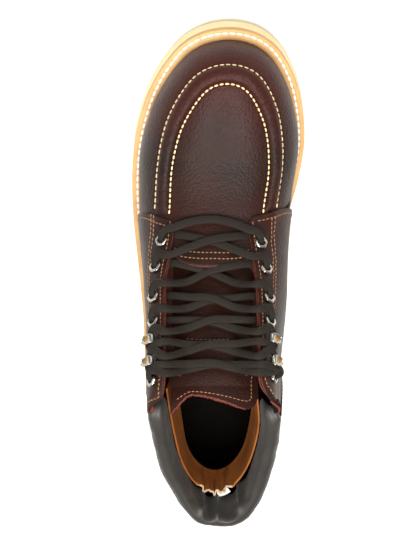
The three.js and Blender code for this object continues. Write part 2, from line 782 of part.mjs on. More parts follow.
function makeCollar() {
  const rings = [];
  const from = -turnOf(collarEnd);
  for (let i = 0; i <= collarSteps; i += 1) {
    const turn = mix(from, -from, i / collarSteps);
    const top = topPoint(turn);
    const seam = collarSeam(top.s) - collarPad / 4;
    rings.push(COLLAR.map(({ up, out }) => {
      const target = mix(seam, top.z, up);
      const level = halve(sectionLow, 1, (v) => surface(turn, v).z < target);
      const point = surface(turn, level);
      const n = surfaceNormal(turn, level);
      point.add(new THREE.Vector3(n.x, n.y, 0).normalize().multiplyScalar(out * collarPad));
      point.z = target;
      return point;
    }));
  }
  return loft(rings, 'fan').intersect(aboveCollar);
}

function tonguePoint(across, row, depth) {
  const run = tongueTopStation * soleLength;
  const s = Math.max(mix(tongueFootStation * soleLength, run, row.share), run);
  const x = ballWidth * ridgeSpine(s / soleLength) + across * ballWidth * row.half;
  const { point, normal } = onUpper(x, s);
  point.addScaledVector(normal, -depth);
  if (row.share > 1) {
    const beyond = (row.share - 1) * tongueRise;
    point.z += beyond * Math.sin(tongueLean);
    point.y += beyond * Math.cos(tongueLean);
  }
  return point;
}

function makeTongue() {
  const face = (depth) => TONGUE.map((row) => ACROSS.map((across) => tonguePoint(across, row, depth)));
  return slab(face(tongueDepth), face(tongueDepth + tongueThickness));
}

function slab(outer, inner) {
  // A sheet with thickness, from its two faces, each a grid of rows.
  const rows = outer.length;
  const columns = outer[0].length;
  const positions = [...outer.flat(), ...inner.flat()];
  const at = (face, r, c) => face * rows * columns + r * columns + c;
  const triangles = [];
  const quad = (a, b, c, d) => triangles.push([a, b, c], [a, c, d]);
  for (let r = 0; r < rows - 1; r += 1) {
    for (let c = 0; c < columns - 1; c += 1) {
      quad(at(0, r, c), at(0, r, c + 1), at(0, r + 1, c + 1), at(0, r + 1, c));
      quad(at(1, r, c), at(1, r + 1, c), at(1, r + 1, c + 1), at(1, r, c + 1));
    }
    quad(at(0, r, 0), at(0, r + 1, 0), at(1, r + 1, 0), at(1, r, 0));
    quad(at(0, r, columns - 1), at(1, r, columns - 1), at(1, r + 1, columns - 1), at(0, r + 1, columns - 1));
  }
  for (let c = 0; c < columns - 1; c += 1) {
    quad(at(0, 0, c), at(1, 0, c), at(1, 0, c + 1), at(0, 0, c + 1));
    quad(at(0, rows - 1, c), at(0, rows - 1, c + 1), at(1, rows - 1, c + 1), at(1, rows - 1, c));
  }
  return solidOf(positions, triangles);
}

function fittingAt(side, row) {
  // Where a fitting sits: a point on the flap, the way out of the leather, the way to the throat and the way up.
  const s = ROWS[row].station * soleLength;
  const inset = ROWS[row].fitting === 'hook' ? hookInset : eyeletInset;
  const x = throatEdge(side, s) + side * inset;
  const { point, normal } = onUpper(x, s);
  const behind = s - fittingSight;
  const ahead = onUpper(throatEdge(side, behind) + side * inset, behind).point;
  const up = ahead.sub(point).normalize();
  const inwards = new THREE.Vector3().crossVectors(up, normal).multiplyScalar(side).normalize();
  if (inwards.x * side > 0) inwards.multiplyScalar(-1);
  const square = new THREE.Vector3().crossVectors(normal, inwards).normalize();
  if (square.z < 0) square.multiplyScalar(-1);
  return { side, row, point, normal, inwards, up: square, name: `${side > 0 ? 'outer' : 'inner'}_${row + 1}` };
}

function standOn(geometry, spot, rise) {
  // Puts a shape, made with +Z out of the leather and +X towards the throat, on its place.
  const cross = new THREE.Vector3().crossVectors(spot.normal, spot.inwards);
  const turn = new THREE.Matrix4().makeBasis(spot.inwards, cross, spot.normal);
  turn.setPosition(spot.point.clone().addScaledVector(spot.normal, rise));
  return geometry.clone().applyMatrix4(turn);
}

function holeAt(spot) {
  const hole = new THREE.CylinderGeometry(eyeletHole, eyeletHole, 6 * upperWall, fittingSides);
  hole.rotateX(Math.PI / 2);
  const rim = eyeletWidth / 2 + seatGap;
  const seat = new THREE.CylinderGeometry(rim, rim, 2 * upperWall, fittingSides);
  seat.rotateX(Math.PI / 2);
  seat.translate(0, 0, upperWall);
  return solidOfGeometry(standOn(hole, spot, 0)).add(solidOfGeometry(standOn(seat, spot, onLeather - seatGap)));
}

function eyeletShape(grow = 0) {
  // A six-sided eyelet: a flange on the leather and a barrel down through it. grow gives room round it.
  const bore = eyeletBore / 2 - grow;
  const barrel = eyeletHole - seatGap + grow;
  const depth = upperWall + overlayThickness + seatGap + fittingLift + grow;
  const top = eyeletFlange + grow;
  const rim = eyeletWidth / 2 + grow;
  const profile = [
    [bore, top], [rim - eyeletFlange / 2, top], [rim, top / 2], [rim, -grow], [barrel, -grow],
    [barrel, -depth], [bore, -depth],
  ].reverse().map(([r, z]) => new THREE.Vector2(r, z));
  profile.push(profile[0].clone());
  const geometry = new THREE.LatheGeometry(profile, fittingSides);
  geometry.rotateX(Math.PI / 2);
  return geometry;
}

function hookShape(grow = 0) {
  // A speed hook: a strip bent up from a base on the leather and back over, open to the outside of the boot.
  const g = hookGauge + 2 * grow;
  const shape = new THREE.Shape();
  const half = hookReach / 2 + grow;
  const rise = hookRise + 2 * grow;
  shape.moveTo(-half, 0);
  shape.lineTo(half, 0);
  shape.absarc(half, rise / 2, rise / 2, -Math.PI / 2, Math.PI / 2, false);
  shape.lineTo(-half * 0.5, rise);
  shape.lineTo(-half * 0.8, rise + g);
  shape.lineTo(-half, rise + g - 0.4);
  shape.lineTo(-half * 0.6, rise - g);
  shape.lineTo(half, rise - g);
  shape.absarc(half, rise / 2, rise / 2 - g, Math.PI / 2, -Math.PI / 2, true);
  shape.lineTo(-half, g);
  shape.closePath();
  const depth = hookWidth + 2 * grow;
  const geometry = new THREE.ExtrudeGeometry(shape, { depth, bevelEnabled: false, curveSegments: 5 });
  geometry.translate(0, -grow, -depth / 2);
  geometry.rotateX(Math.PI / 2);
  return geometry;
}

const onLeather = overlayThickness + 2 * seatGap + fittingLift;
const underLeather = -(upperWall + laceClear + laceHeight / 2);
const overLeather = onLeather + laceOver + laceHeight / 2;
const overEyelet = onLeather + eyeletFlange + laceHeight / 2;

function strand(points) {
  // A flat braided lace through the points: each has a place, the way out of the leather, and where it is narrowed.
  const curve = new THREE.CatmullRomCurve3(points.map(({ at }) => at), false, 'centripetal');
  const rings = [];
  let before = null;
  points.forEach((point, i) => {
    const tangent = curve.getTangent(i / (points.length - 1));
    const ahead = points[Math.min(i + 1, points.length - 1)].at;
    const behind = points[Math.max(i - 1, 0)].at;
    tangent.subVectors(ahead, behind).normalize();
    const wide = point.wide
      ? point.wide.clone().addScaledVector(tangent, -point.wide.dot(tangent)).normalize()
      : new THREE.Vector3().crossVectors(point.normal, tangent).normalize();
    if (before && wide.dot(before) < 0) wide.multiplyScalar(-1);
    before = wide;
    const high = new THREE.Vector3().crossVectors(tangent, wide);
    const width = (laceWidth / 2) * (point.narrow ?? 1);
    const height = (laceHeight / 2) * (point.narrow ? 0.95 : 1);
    const ring = [];
    for (let k = 0; k < laceSides; k += 1) {
      const angle = (2 * Math.PI * (k + 0.5)) / laceSides;
      ring.push(point.at.clone().addScaledVector(wide, width * Math.cos(angle) * laceSpread)
        .addScaledVector(high, height * Math.sin(angle) * laceSpread));
    }
    rings.push(ring);
  });
  return loft(rings, 'fan');
}

function offFlap(x, s, rise) {
  const { point, normal } = onUpper(x, s);
  return { at: point.addScaledVector(normal, rise), normal };
}

function spotPoint(spot, inwards, up, rise, extra = {}) {
  const at = spot.point.clone().addScaledVector(spot.inwards, inwards).addScaledVector(spot.up, up)
    .addScaledVector(spot.normal, rise);
  return { at, normal: spot.normal, ...extra };
}

function leave(spot) {
  // The start of a strand: out of an eyelet from below, or from behind a hook.
  if (ROWS[spot.row].fitting === 'hook') {
    return [
      spotPoint(spot, -1, 0, onLeather + hookRise / 2, { wide: spot.inwards, narrow: laceNarrow }),
      spotPoint(spot, 0, hookPass, onLeather + hookRise / 2, { wide: spot.inwards, narrow: laceNarrow }),
    ];
  }
  return [
    spotPoint(spot, 0, 0, 0.5, { wide: spot.up, narrow: laceNarrow }),
    spotPoint(spot, 0.4, 0, underLeather + 1.4, { wide: spot.up, narrow: laceNarrow }),
    spotPoint(spot, 3.4, 0, underLeather, { wide: spot.up }),
  ];
}

function arrive(spot) {
  if (ROWS[spot.row].fitting === 'hook') {
    return [
      spotPoint(spot, 0, -hookPass, onLeather + hookRise / 2, { wide: spot.inwards, narrow: laceNarrow }),
      spotPoint(spot, -1, 0, onLeather + hookRise / 2, { wide: spot.inwards, narrow: laceNarrow }),
    ];
  }
  return [
    spotPoint(spot, 2.6, 0, overEyelet + 0.5, { wide: spot.up }),
    spotPoint(spot, 0.5, 0, overEyelet - 0.3, { wide: spot.up, narrow: laceNarrow }),
    spotPoint(spot, 0, 0, 0, { wide: spot.up, narrow: laceNarrow }),
  ];
}

function crossing(from, to, lift) {
  // The middle of a strand, over the tongue from one flap to the other.
  const hooked = ROWS[from.row].fitting === 'hook';
  const s0 = ROWS[from.row].station * soleLength - (hooked ? hookRound : 0);
  const s1 = ROWS[to.row].station * soleLength + (ROWS[to.row].fitting === 'hook' ? hookRound : 0);
  const startEdge = throatEdge(from.side, s0);
  const endEdge = throatEdge(to.side, s1);
  return CROSSING.map((t, i, all) => {
    const rise = hooked && i === 0 ? overLeather : i === all.length - 1 ? overLeather : underLeather;
    const ease = i === all.length - 2 || (hooked && i === 1) ? laceEase : 0;
    const over = lift * laceHeight * Math.sin(Math.PI * t) ** 2;
    const s = Math.max(mix(s0, s1, smooth(0, 1, t)), tongueTopStation * soleLength);
    return offFlap(mix(startEdge, endEdge, t), s, mix(rise, overLeather, ease) + over);
  });
}

function makeLace() {
  const spots = (side, row) => FITTINGS.find((spot) => spot.side === side && spot.row === row);
  const [first, last] = [spots(1, 0), spots(-1, 0)];
  const s = ROWS[0].station * soleLength;
  const middle = BAR.map((t) => offFlap(
    mix(throatEdge(1, s), throatEdge(-1, s), t), s + barReach * Math.sin(Math.PI * mix(barTuck, 1 - barTuck, t)),
    overLeather - barSink * Math.sin(Math.PI * t),
  ));
  let lace = strand([...arrive(first).reverse(), ...middle, ...arrive(last)]);
  for (const { side, row, next, lift } of STRANDS) {
    const [from, to] = [spots(side, row), spots(-side, next)];
    lace = lace.add(strand([...leave(from), ...crossing(from, to, lift), ...arrive(to)]));
  }
  for (const spot of FITTINGS.filter(({ row }) => row >= firstHook)) {
    const shape = ROWS[spot.row].fitting === 'hook' ? hookShape(seatGap) : eyeletShape(seatGap);
    lace = lace.subtract(solidOfGeometry(standOn(shape, spot, onLeather)));
  }
  return largest(lace);
}

const FITTINGS = [1, -1].flatMap((side) => ROWS.map((row, index) => fittingAt(side, index)));
const EYELETS = FITTINGS.filter((spot) => ROWS[spot.row].fitting === 'eyelet');

const finishes = {
  oiledLeather: { color: 0x46302a, roughness: 0.55 },
  collarLeather: { color: 0x4a463f, roughness: 0.6 },
  creamRubber: { color: 0xe8d9ac, roughness: 0.7 },
  tanRubber: { color: 0xc08a4c, roughness: 0.65 },
  weltLeather: { color: 0xc99a62, roughness: 0.6 },
  footbed: { color: 0x2a2320, roughness: 0.9 },
  nickel: { color: 0xc8c6c0, roughness: 0.25, metalness: 1 },
  braid: { color: 0x3a332c, roughness: 0.85 },
};

const boot = new THREE.Group();

function put(name, geometry, finish) {
  const mesh = new THREE.Mesh(geometry, new THREE.MeshStandardMaterial(finish));
  mesh.name = name;
  boot.add(mesh);
}

put('outsole', geometryOf(makeOutsole()), finishes.creamRubber);
put('midsole', geometryOf(makeMidsole()), finishes.tanRubber);
put('welt', geometryOf(makeWelt()), finishes.weltLeather);
put('insole', geometryOf(makeInsole()), finishes.footbed);
put('upper', geometryOf(makeUpper()), finishes.oiledLeather);
put('seam_roll', geometryOf(makeRoll()), finishes.oiledLeather);
put('quarter_outer', geometryOf(makeQuarter(1)), finishes.oiledLeather);
put('quarter_inner', geometryOf(makeQuarter(-1)), finishes.oiledLeather);
put('heel_counter', geometryOf(makeCounter()), finishes.oiledLeather);
put('collar', geometryOf(makeCollar()), finishes.collarLeather);
put('tongue', geometryOf(makeTongue()), finishes.oiledLeather);
for (const spot of FITTINGS) {
  const hook = ROWS[spot.row].fitting === 'hook';
  const shape = hook ? hookShape() : eyeletShape();
  put(`${ROWS[spot.row].fitting}_${spot.name}`, standOn(shape, spot, onLeather), finishes.nickel);
}
put('lace', geometryOf(makeLace()), finishes.braid);

export default boot;
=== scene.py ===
"""A left ankle-high work boot with a moccasin toe: its looks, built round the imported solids.

Lengths are in millimetres. x runs to the outer side of the foot, s along from the heel, z up.
"""

import logging
import math
from dataclasses import dataclass, field
from enum import Enum
from typing import Callable, NamedTuple, Sequence

import bmesh
import bpy
from mathutils import Matrix, Vector, noise
from mathutils.bvhtree import BVHTree

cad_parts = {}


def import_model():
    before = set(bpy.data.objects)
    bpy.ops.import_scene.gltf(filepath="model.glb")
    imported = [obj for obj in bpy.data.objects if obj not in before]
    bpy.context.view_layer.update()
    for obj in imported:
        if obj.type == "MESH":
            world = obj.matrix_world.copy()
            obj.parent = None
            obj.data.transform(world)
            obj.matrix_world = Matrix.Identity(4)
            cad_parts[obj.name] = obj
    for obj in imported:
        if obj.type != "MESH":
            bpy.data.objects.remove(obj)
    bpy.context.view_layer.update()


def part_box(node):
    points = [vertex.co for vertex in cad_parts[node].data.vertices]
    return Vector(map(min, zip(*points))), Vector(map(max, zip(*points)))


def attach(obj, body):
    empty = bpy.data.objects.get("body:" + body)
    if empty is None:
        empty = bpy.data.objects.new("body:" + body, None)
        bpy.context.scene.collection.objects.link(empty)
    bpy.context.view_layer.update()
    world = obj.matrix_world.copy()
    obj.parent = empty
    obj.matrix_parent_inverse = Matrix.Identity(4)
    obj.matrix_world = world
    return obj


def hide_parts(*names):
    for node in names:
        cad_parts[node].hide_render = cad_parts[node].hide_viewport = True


MM = 0.001
LOG = logging.getLogger("boot")

Mesh = bmesh.types.BMesh
Tree = bpy.types.NodeTree
Socket = bpy.types.NodeSocket
Place = Callable[[float, float], Vector]


def clamp(value: float, low: float = 0.0, high: float = 1.0) -> float:
    """Keeps a value between low and high."""
    return min(max(value, low), high)


def mix(start: float, end: float, share: float) -> float:
    """The value that lies a share of the way from start to end."""
    return start + (end - start) * share


def smooth(low: float, high: float, value: float) -> float:
    """Goes softly from 0 at low to 1 at high."""
    share = clamp((value - low) / (high - low))
    return share * share * (3 - 2 * share)


def hump(value: float, width: float) -> float:
    """A soft bump, 1 at 0 and gone past about twice its width."""
    return math.exp(-((value / width) ** 2))
def evenly(start: float, end: float, steps: int) -> list[float]:
    """Values from start to end, both counted, in even steps."""
    return [mix(start, end, i / steps) for i in range(steps + 1)]

def halve(low: float, high: float, is_below: Callable[[float], bool], passes: int = 18) -> float:
    """Finds where a test stops being true.

    Args:
        low: a value for which the test is true.
        high: a value for which it is false.
        is_below: the test.
        passes: how often the span is halved.

    Returns:
        The value between them where the test changes.
    """
    for _ in range(passes):
        middle = (low + high) / 2
        if is_below(middle):
            low = middle
        else:
            high = middle
    return (low + high) / 2


class FormRow(NamedTuple):
    """One section of the form, in shares of the named sizes."""

    station: float
    centre: float
    half: float
    rise: float
    box: float
    swell_out: float
    swell_in: float


class RidgeRow(NamedTuple):
    """One point of the ridge line: its height and its place across."""

    station: float
    height: float
    spine: float


class SeamRow(NamedTuple):
    """How high up the section the raised seam's outer and inner stitch lines lie."""

    station: float
    outer: float
    inner: float


class ThroatRow(NamedTuple):
    """The edges of the throat, as shares of the ball width."""

    station: float
    outer: float
    inner: float


class EdgeRow(NamedTuple):
    """A point of a side outline: its height as a share of the collar height."""

    height: float
    station: float


FORM = (
    FormRow(0.0, 0.027, 0.423, 1.0, 2.4, 0.018, 0.018),
    FormRow(0.1, 0.027, 0.432, 1.0, 2.4, 0.014, 0.02),
    FormRow(0.2, 0.033, 0.411, 0.983, 2.4, 0.01, 0.03),
    FormRow(0.33, 0.045, 0.401, 0.879, 4.2, 0.016, 0.05),
    FormRow(0.45, 0.05, 0.423, 0.741, 4.0, 0.016, 0.06),
    FormRow(0.56, 0.045, 0.456, 0.62, 3.1, 0.016, 0.05),
    FormRow(0.65, 0.018, 0.49, 0.552, 2.7, 0.016, 0.022),
    FormRow(0.74, -0.009, 0.5, 0.534, 2.9, 0.02, 0.018),
    FormRow(0.84, -0.031, 0.473, 0.535, 3.0, 0.02, 0.018),
    FormRow(0.93, -0.05, 0.437, 0.56, 3.0, 0.018, 0.018),
    FormRow(1.0, -0.06, 0.437, 0.605, 3.0, 0.018, 0.018),
)

RIDGE = (
    RidgeRow(0.3, 1.14, 0.012),
    RidgeRow(0.39, 1.0, 0.018),
    RidgeRow(0.42, 0.958, 0.022),
    RidgeRow(0.455, 0.89, 0.024),
    RidgeRow(0.493, 0.812, 0.026),
    RidgeRow(0.527, 0.735, 0.026),
    RidgeRow(0.567, 0.632, 0.024),
    RidgeRow(0.61, 0.55, 0.018),
    RidgeRow(0.66, 0.476, 0.003),
    RidgeRow(0.735, 0.417, -0.018),
    RidgeRow(0.8, 0.387, -0.03),
    RidgeRow(0.873, 0.362, -0.041),
    RidgeRow(1.0, 0.33, -0.05),
)

SEAM = (
    SeamRow(0.6, 0.5, 0.645),
    SeamRow(0.72, 0.5, 0.65),
    SeamRow(0.82, 0.49, 0.67),
    SeamRow(0.9, 0.49, 0.71),
    SeamRow(1.0, 0.49, 0.76),
)

THROAT = (
    ThroatRow(0.34, 0.312, -0.322),
    ThroatRow(0.37, 0.305, -0.288),
    ThroatRow(0.407, 0.302, -0.24),
    ThroatRow(0.5, 0.3, -0.228),
    ThroatRow(0.55, 0.3, -0.218),
    ThroatRow(0.6, 0.262, -0.185),
    ThroatRow(0.66, 0.235, -0.16),
)

FLAP_FRONT = (
    EdgeRow(0.1, 0.56),
    EdgeRow(0.22, 0.6),
    EdgeRow(0.33, 0.64),
    EdgeRow(0.42, 0.655),
    EdgeRow(0.9, 0.655),
)

COUNTER_TOP = (
    (0.0, 0.56),
    (0.07, 0.535),
    (0.14, 0.49),
    (0.2, 0.4),
    (0.235, 0.28),
    (0.245, 0.1),
)


@dataclass(frozen=True)
class Curve:
    """A smooth curve through points given as pairs, in the order of their first number."""

    points: tuple[tuple[float, float], ...]

    def __call__(self, at: float) -> float:
        """The curve's value at a place; past its ends it stays level."""
        rows = self.points
        last = len(rows) - 1
        i = 0
        while i < last - 1 and at > rows[i + 1][0]:
            i += 1
        (place_a, a), (place_b, b) = rows[i], rows[i + 1]
        before = rows[max(i - 1, 0)]
        after = rows[min(i + 2, last)]
        span = place_b - place_a
        t = clamp((at - place_a) / span)
        slope_a = (b - before[1]) / (place_b - before[0]) * span
        slope_b = (after[1] - a) / (after[0] - place_a) * span
        t2 = t * t
        t3 = t2 * t
        first, second = (2 * t3 - 3 * t2 + 1) * a, (3 * t2 - 2 * t3) * b
        return first + (t3 - 2 * t2 + t) * slope_a + second + (t3 - t2) * slope_b


def column(rows: Sequence[NamedTuple], name: str, key: str = "station") -> Curve:
    """The curve through one column of a table."""
    return Curve(tuple((getattr(row, key), getattr(row, name)) for row in rows))


class Section(NamedTuple):
    """What one section of the form is worked out from."""

    station: float
    foot_x: float
    foot_s: float
    floor: float
    top_x: float
    top_s: float
    top_z: float
    unbound: float
    box: float
    out_x: float
    out_s: float
    swell_out: float
    swell_in: float


def wrap(turn: float) -> float:
    """Brings a turn back between -1 and 1."""
    if turn > 1:
        return turn - 2
    return turn + 2 if turn < -1 else turn


def station_of(turn: float) -> float:
    """The share of the length that a turn round the boot stands at."""
    return (1 - math.cos(math.pi * abs(turn))) / 2


def turn_of(station: float) -> float:
    """The turn on the outer side at a station."""
    return math.acos(1 - 2 * clamp(station)) / math.pi


@dataclass
class Last:
    """The form that the upper is shaped on, and the outline of the sole under it.

    turn 0 is the back of the heel, 0 to 1 the outer side, 1 the toe, -1 to 0 the inner side. v runs from the
    foot of the upper, 0, to the ridge or the top edge, 1.
    """

    length: float
    ball_width: float = 111.0
    heel_height: float = 29.0
    toe_spring: float = 6.0
    collar_height: float = 176.0
    back_height: float = 155.0
    seat_gap: float = 0.3
    midsole: float = 3.0
    welt: float = 2.4
    margin_toe: float = 7.0
    margin_side: float = 6.0
    margin_heel: float = 3.6
    collar_depth: float = 36.0
    collar_corner: float = 0.345
    collar_run: float = 0.09
    ball_end: float = 0.68
    shaft_side: float = 0.333
    shaft_front: float = 0.39
    shaft_arc_end: float = 0.45
    shaft_square: float = 2.4
    shaft_half: float = 0.365
    shaft_centre: float = 0.011
    shaft_back: float = 0.037
    straight_end: float = 0.2
    crown_start: float = 0.37
    instep_even: float = 0.62
    toe_pole: float = 0.873
    toe_pole_start: float = 0.7
    waist: float = 2.4
    side_hollow: float = 3.6
    hollow_at: float = 0.44
    hollow_run: float = 0.14
    outline_round: float = 6.0
    section_count: int = 2400
    sections: list[Section] = field(default_factory=list)

    def __post_init__(self) -> None:
        """Makes the curves through the tables."""
        self.centre = column(FORM, "centre")
        self.half = column(FORM, "half")
        self.rise = column(FORM, "rise")
        self.box = column(FORM, "box")
        self.swell = {1: column(FORM, "swell_out"), -1: column(FORM, "swell_in")}
        self.ridge = column(RIDGE, "height")
        self.spine = column(RIDGE, "spine")
        self.edge = {1: column(THROAT, "outer"), -1: column(THROAT, "inner")}
        self.seam = {"outer": column(SEAM, "outer"), "inner": column(SEAM, "inner")}

    def place(self, x: float, s: float, z: float) -> Vector:
        """A point of the boot's frame."""
        return Vector((x, self.length / 2 - s, z))

    def along(self, point: Vector) -> float:
        """How far from the heel a point lies."""
        return self.length / 2 - point.y

    def outsole_top(self, s: float) -> float:
        """The height of the outsole's top."""
        return self.heel_height * self.rise(s / self.length)

    def midsole_top(self, s: float) -> float:
        """The height of the midsole's top."""
        return self.outsole_top(s) + self.seat_gap + self.midsole

    def welt_top(self, s: float) -> float:
        """The height of the welt's top."""
        return self.midsole_top(s) + self.seat_gap + self.welt

    def tread(self, s: float) -> float:
        """The height of the underside: flat from heel to ball, then sprung up to the toe."""
        share = max(s / self.length - self.ball_end, 0) / (1 - self.ball_end)
        return self.toe_spring * share * share

    def sole_point(self, turn: float) -> tuple[float, float]:
        """The sole's outline, as x and s."""
        turn = wrap(turn)
        station = station_of(turn)
        rounding = math.sqrt(max(1 - abs(2 * station - 1) ** self.outline_round, 0))
        side = 1 if turn > 0 else -1 if turn < 0 else 0
        x = self.ball_width * (self.centre(station) + side * self.half(station) * rounding)
        return x, station * self.length

    def sole_normal(self, turn: float) -> tuple[float, float]:
        """The way out, square to the sole's outline."""
        step = 1e-3
        x1, s1 = self.sole_point(turn + step)
        x0, s0 = self.sole_point(turn - step)
        size = math.hypot(x1 - x0, s1 - s0)
        return (s1 - s0) / size, -(x1 - x0) / size

    def outline(self, turn: float, inset: float) -> tuple[float, float]:
        """The sole's outline moved in by a distance."""
        x, s = self.sole_point(turn)
        nx, ns = self.sole_normal(turn)
        return x - nx * inset, s - ns * inset

    def margin(self, station: float) -> float:
        """How far the welt stands out past the upper."""
        front = mix(self.margin_side, self.margin_toe, smooth(0.75, 1, station))
        return mix(self.margin_heel, front, smooth(0.05, 0.4, station))

    def collar_line(self, s: float) -> float:
        """The height of the shaft's top edge."""
        back = self.shaft_back * self.length
        share = clamp((s - back) / (self.length * self.shaft_front - back))
        return mix(self.back_height, self.collar_height, share**1.25)

    def collar_seam(self, s: float) -> float:
        """The height of the seam under the padded collar."""
        corner = self.collar_corner * self.length
        ahead = 1 - smooth(corner - self.collar_run * self.length, corner, s)
        return self.collar_line(s) - self.collar_depth * ahead

    def top_point(self, turn: float) -> tuple[float, float, float, float]:
        """Where a section ends, as x, s and z, and how far its side is free of the crown."""
        station = station_of(turn)
        side = 1 if turn > 0 else -1 if turn < 0 else 0
        if station >= self.shaft_arc_end:
            near = max(self.instep_even - station, 0) / (self.instep_even - self.shaft_arc_end)
            over = max(station - self.toe_pole_start, 0) / (1 - self.toe_pole_start)
            back = (self.shaft_arc_end - self.shaft_front) * near * near
            top = station - back - (1 - self.toe_pole) * over * over
            x = self.ball_width * self.spine(top)
            return x, top * self.length, self.collar_height * self.ridge(top), 0.0
        side_s = self.shaft_side * self.length
        front_s = self.shaft_front * self.length
        half = self.ball_width * self.shaft_half
        middle = self.ball_width * self.shaft_centre
        unbound = 1 - smooth(self.straight_end, self.crown_start, station)
        if station < self.shaft_side:
            back_s = self.shaft_back * self.length
            s = mix(back_s, side_s, station / self.shaft_side)
            share = (side_s - s) / (side_s - back_s)
            across = half * math.sqrt(max(1 - share * share, 0))
            return middle + side * across, s, self.collar_line(s), unbound
        share = (station - self.shaft_side) / (self.shaft_arc_end - self.shaft_side)
        angle = share * math.pi / 2
        s = mix(side_s, front_s, math.sin(angle) ** (2 / self.shaft_square))
        across = half * max(math.cos(angle), 0) ** (2 / self.shaft_square)
        ridge_x = self.ball_width * self.spine(self.shaft_front)
        return mix(middle, ridge_x, share) + side * across, s, self.collar_line(s), unbound

    def make_section(self, turn: float) -> Section:
        """Works out the section at a turn."""
        station = station_of(turn)
        foot_x, foot_s = self.outline(turn, self.margin(station))
        floor = self.welt_top(foot_s) + self.seat_gap
        ends = (foot_x, foot_s, floor, *self.top_point(turn))
        swells = self.swell[1](station), self.swell[-1](station)
        return Section(station, *ends, self.box(station), *self.sole_normal(turn), *swells)

    def section(self, turn: float) -> Section:
        """The section at a turn, between two of those worked out once all round."""
        turn = wrap(turn)
        if not self.sections:
            count = self.section_count
            self.sections = [self.make_section(2 * i / count - 1) for i in range(count + 1)]
        at = (turn + 1) / 2 * self.section_count
        i = min(int(at), self.section_count - 1)
        share = at - i
        return Section(*(a + (b - a) * share for a, b in zip(self.sections[i], self.sections[i + 1])))

    def point(self, turn: float, v: float) -> Vector:
        """A point of the upper's outer form."""
        part = self.section(turn)
        angle = clamp(v) * math.pi / 2
        away = mix(max(math.cos(angle), 0) ** (2 / part.box), 1 - v, part.unbound)
        rise = mix(math.sin(angle) ** (2 / part.box), clamp(v), part.unbound)
        swell = self.ball_width * (part.swell_out if wrap(turn) >= 0 else part.swell_in)
        swell *= math.sin(math.pi * rise**0.75)
        narrow = math.sin(math.pi * clamp((rise - 0.35) / 0.65))
        bulge = swell - self.waist * narrow * (1 - smooth(0.25, 0.45, part.station))
        if wrap(turn) > 0:
            hollow = self.side_hollow * hump(part.station - self.hollow_at, self.hollow_run)
            bulge -= hollow * math.sin(math.pi * clamp(rise / 0.8))
        x = mix(part.top_x, part.foot_x, away) + part.out_x * bulge
        s = mix(part.top_s, part.foot_s, away) + part.out_s * bulge
        return self.place(x, s, mix(part.floor, part.top_z, rise))

    def normal(self, turn: float, v: float) -> Vector:
        """The way out of the upper's outer form."""
        level = min(v, 0.985)
        over_turn = self.point(turn + 2e-3, level) - self.point(turn - 2e-3, level)
        over_v = self.point(turn, min(v + 4e-3, 0.999)) - self.point(turn, max(v - 4e-3, 0))
        way = over_v.cross(over_turn).normalized()
        if v > 0.999 and self.section(turn).station >= self.shaft_arc_end:
            way.x = 0
        return way.normalized()

    def off(self, turn: float, v: float, rise: float) -> Vector:
        """A point that stands off the form by a distance."""
        return self.point(turn, v) + self.normal(turn, v) * rise

    def throat_edge(self, side: int, s: float) -> float:
        """The place across of a flap's inner edge."""
        return self.ball_width * self.edge[side](s / self.length)

    def on_ridge(self, x: float, s: float) -> tuple[Vector, Vector]:
        """A point as high as the ridge at a place along, and the way out of the ridge there."""
        low, middle, high = (self.collar_height * self.ridge((s + step) / self.length) for step in (-2, 0, 2))
        return self.place(x, s, middle), Vector((0, (high - low) / 4, 1)).normalized()
def grid(
    columns: int,
    rows: int,
    place: Place,
    uv_size: tuple[float, float] = (1.0, 1.0),
    tint: Callable[[float, float], float] | None = None,
    paint: Callable[[float, float], int] | None = None,
) -> Mesh:
    """Makes a sheet of square faces and moves each corner to its place.

    Args:
        columns: how many faces the sheet has along its first way.
        rows: how many it has along its second way.
        place: gives the point for two shares from 0 to 1.
        uv_size: the sheet's size in its UV map.
        tint: gives the tone attribute for two shares.
        paint: gives the number of a face's material for the shares of its middle.

    Returns:
        The sheet, in millimetres.
    """
    mesh = bmesh.new()
    layer = mesh.loops.layers.uv.new("UVMap")
    tones = mesh.verts.layers.float.new("tone") if tint else None
    bmesh.ops.create_grid(mesh, x_segments=columns, y_segments=rows, size=0.5, calc_uvs=True)
    for face in mesh.faces:
        for loop in face.loops:
            share = loop.vert.co
            loop[layer].uv = ((share.x + 0.5) * uv_size[0], (share.y + 0.5) * uv_size[1])
        if paint:
            middle = face.calc_center_median()
            face.material_index = paint(middle.x + 0.5, middle.y + 0.5)
    for vert in mesh.verts:
        across = round((vert.co.x + 0.5) * columns) / columns
        up = round((vert.co.y + 0.5) * rows) / rows
        vert.co = place(across, up)
        if tint:
            vert[tones] = tint(across, up)
    return mesh


def close(mesh: Mesh, gap: float = 0.01) -> None:
    """Welds corners that coincide, fills what is still open and turns the faces out."""
    bmesh.ops.remove_doubles(mesh, verts=mesh.verts, dist=gap)
    bmesh.ops.dissolve_degenerate(mesh, edges=mesh.edges, dist=gap / 4)
    loose = [edge for edge in mesh.edges if edge.is_boundary]
    if loose:
        bmesh.ops.holes_fill(mesh, edges=loose, sides=0)
    bmesh.ops.recalc_face_normals(mesh, faces=mesh.faces)


def face_out(mesh: Mesh, middle: Callable[[Vector], Vector]) -> None:
    """Turns an open sheet so that it faces away from a middle line.

    Args:
        mesh: the sheet.
        middle: gives the point inside the boot that a face looks away from.
    """
    total = 0.0
    for face in mesh.faces:
        face.normal_update()
        centre = face.calc_center_median()
        total += face.calc_area() * face.normal.dot(centre - middle(centre))
    if total < 0:
        bmesh.ops.reverse_faces(mesh, faces=mesh.faces)


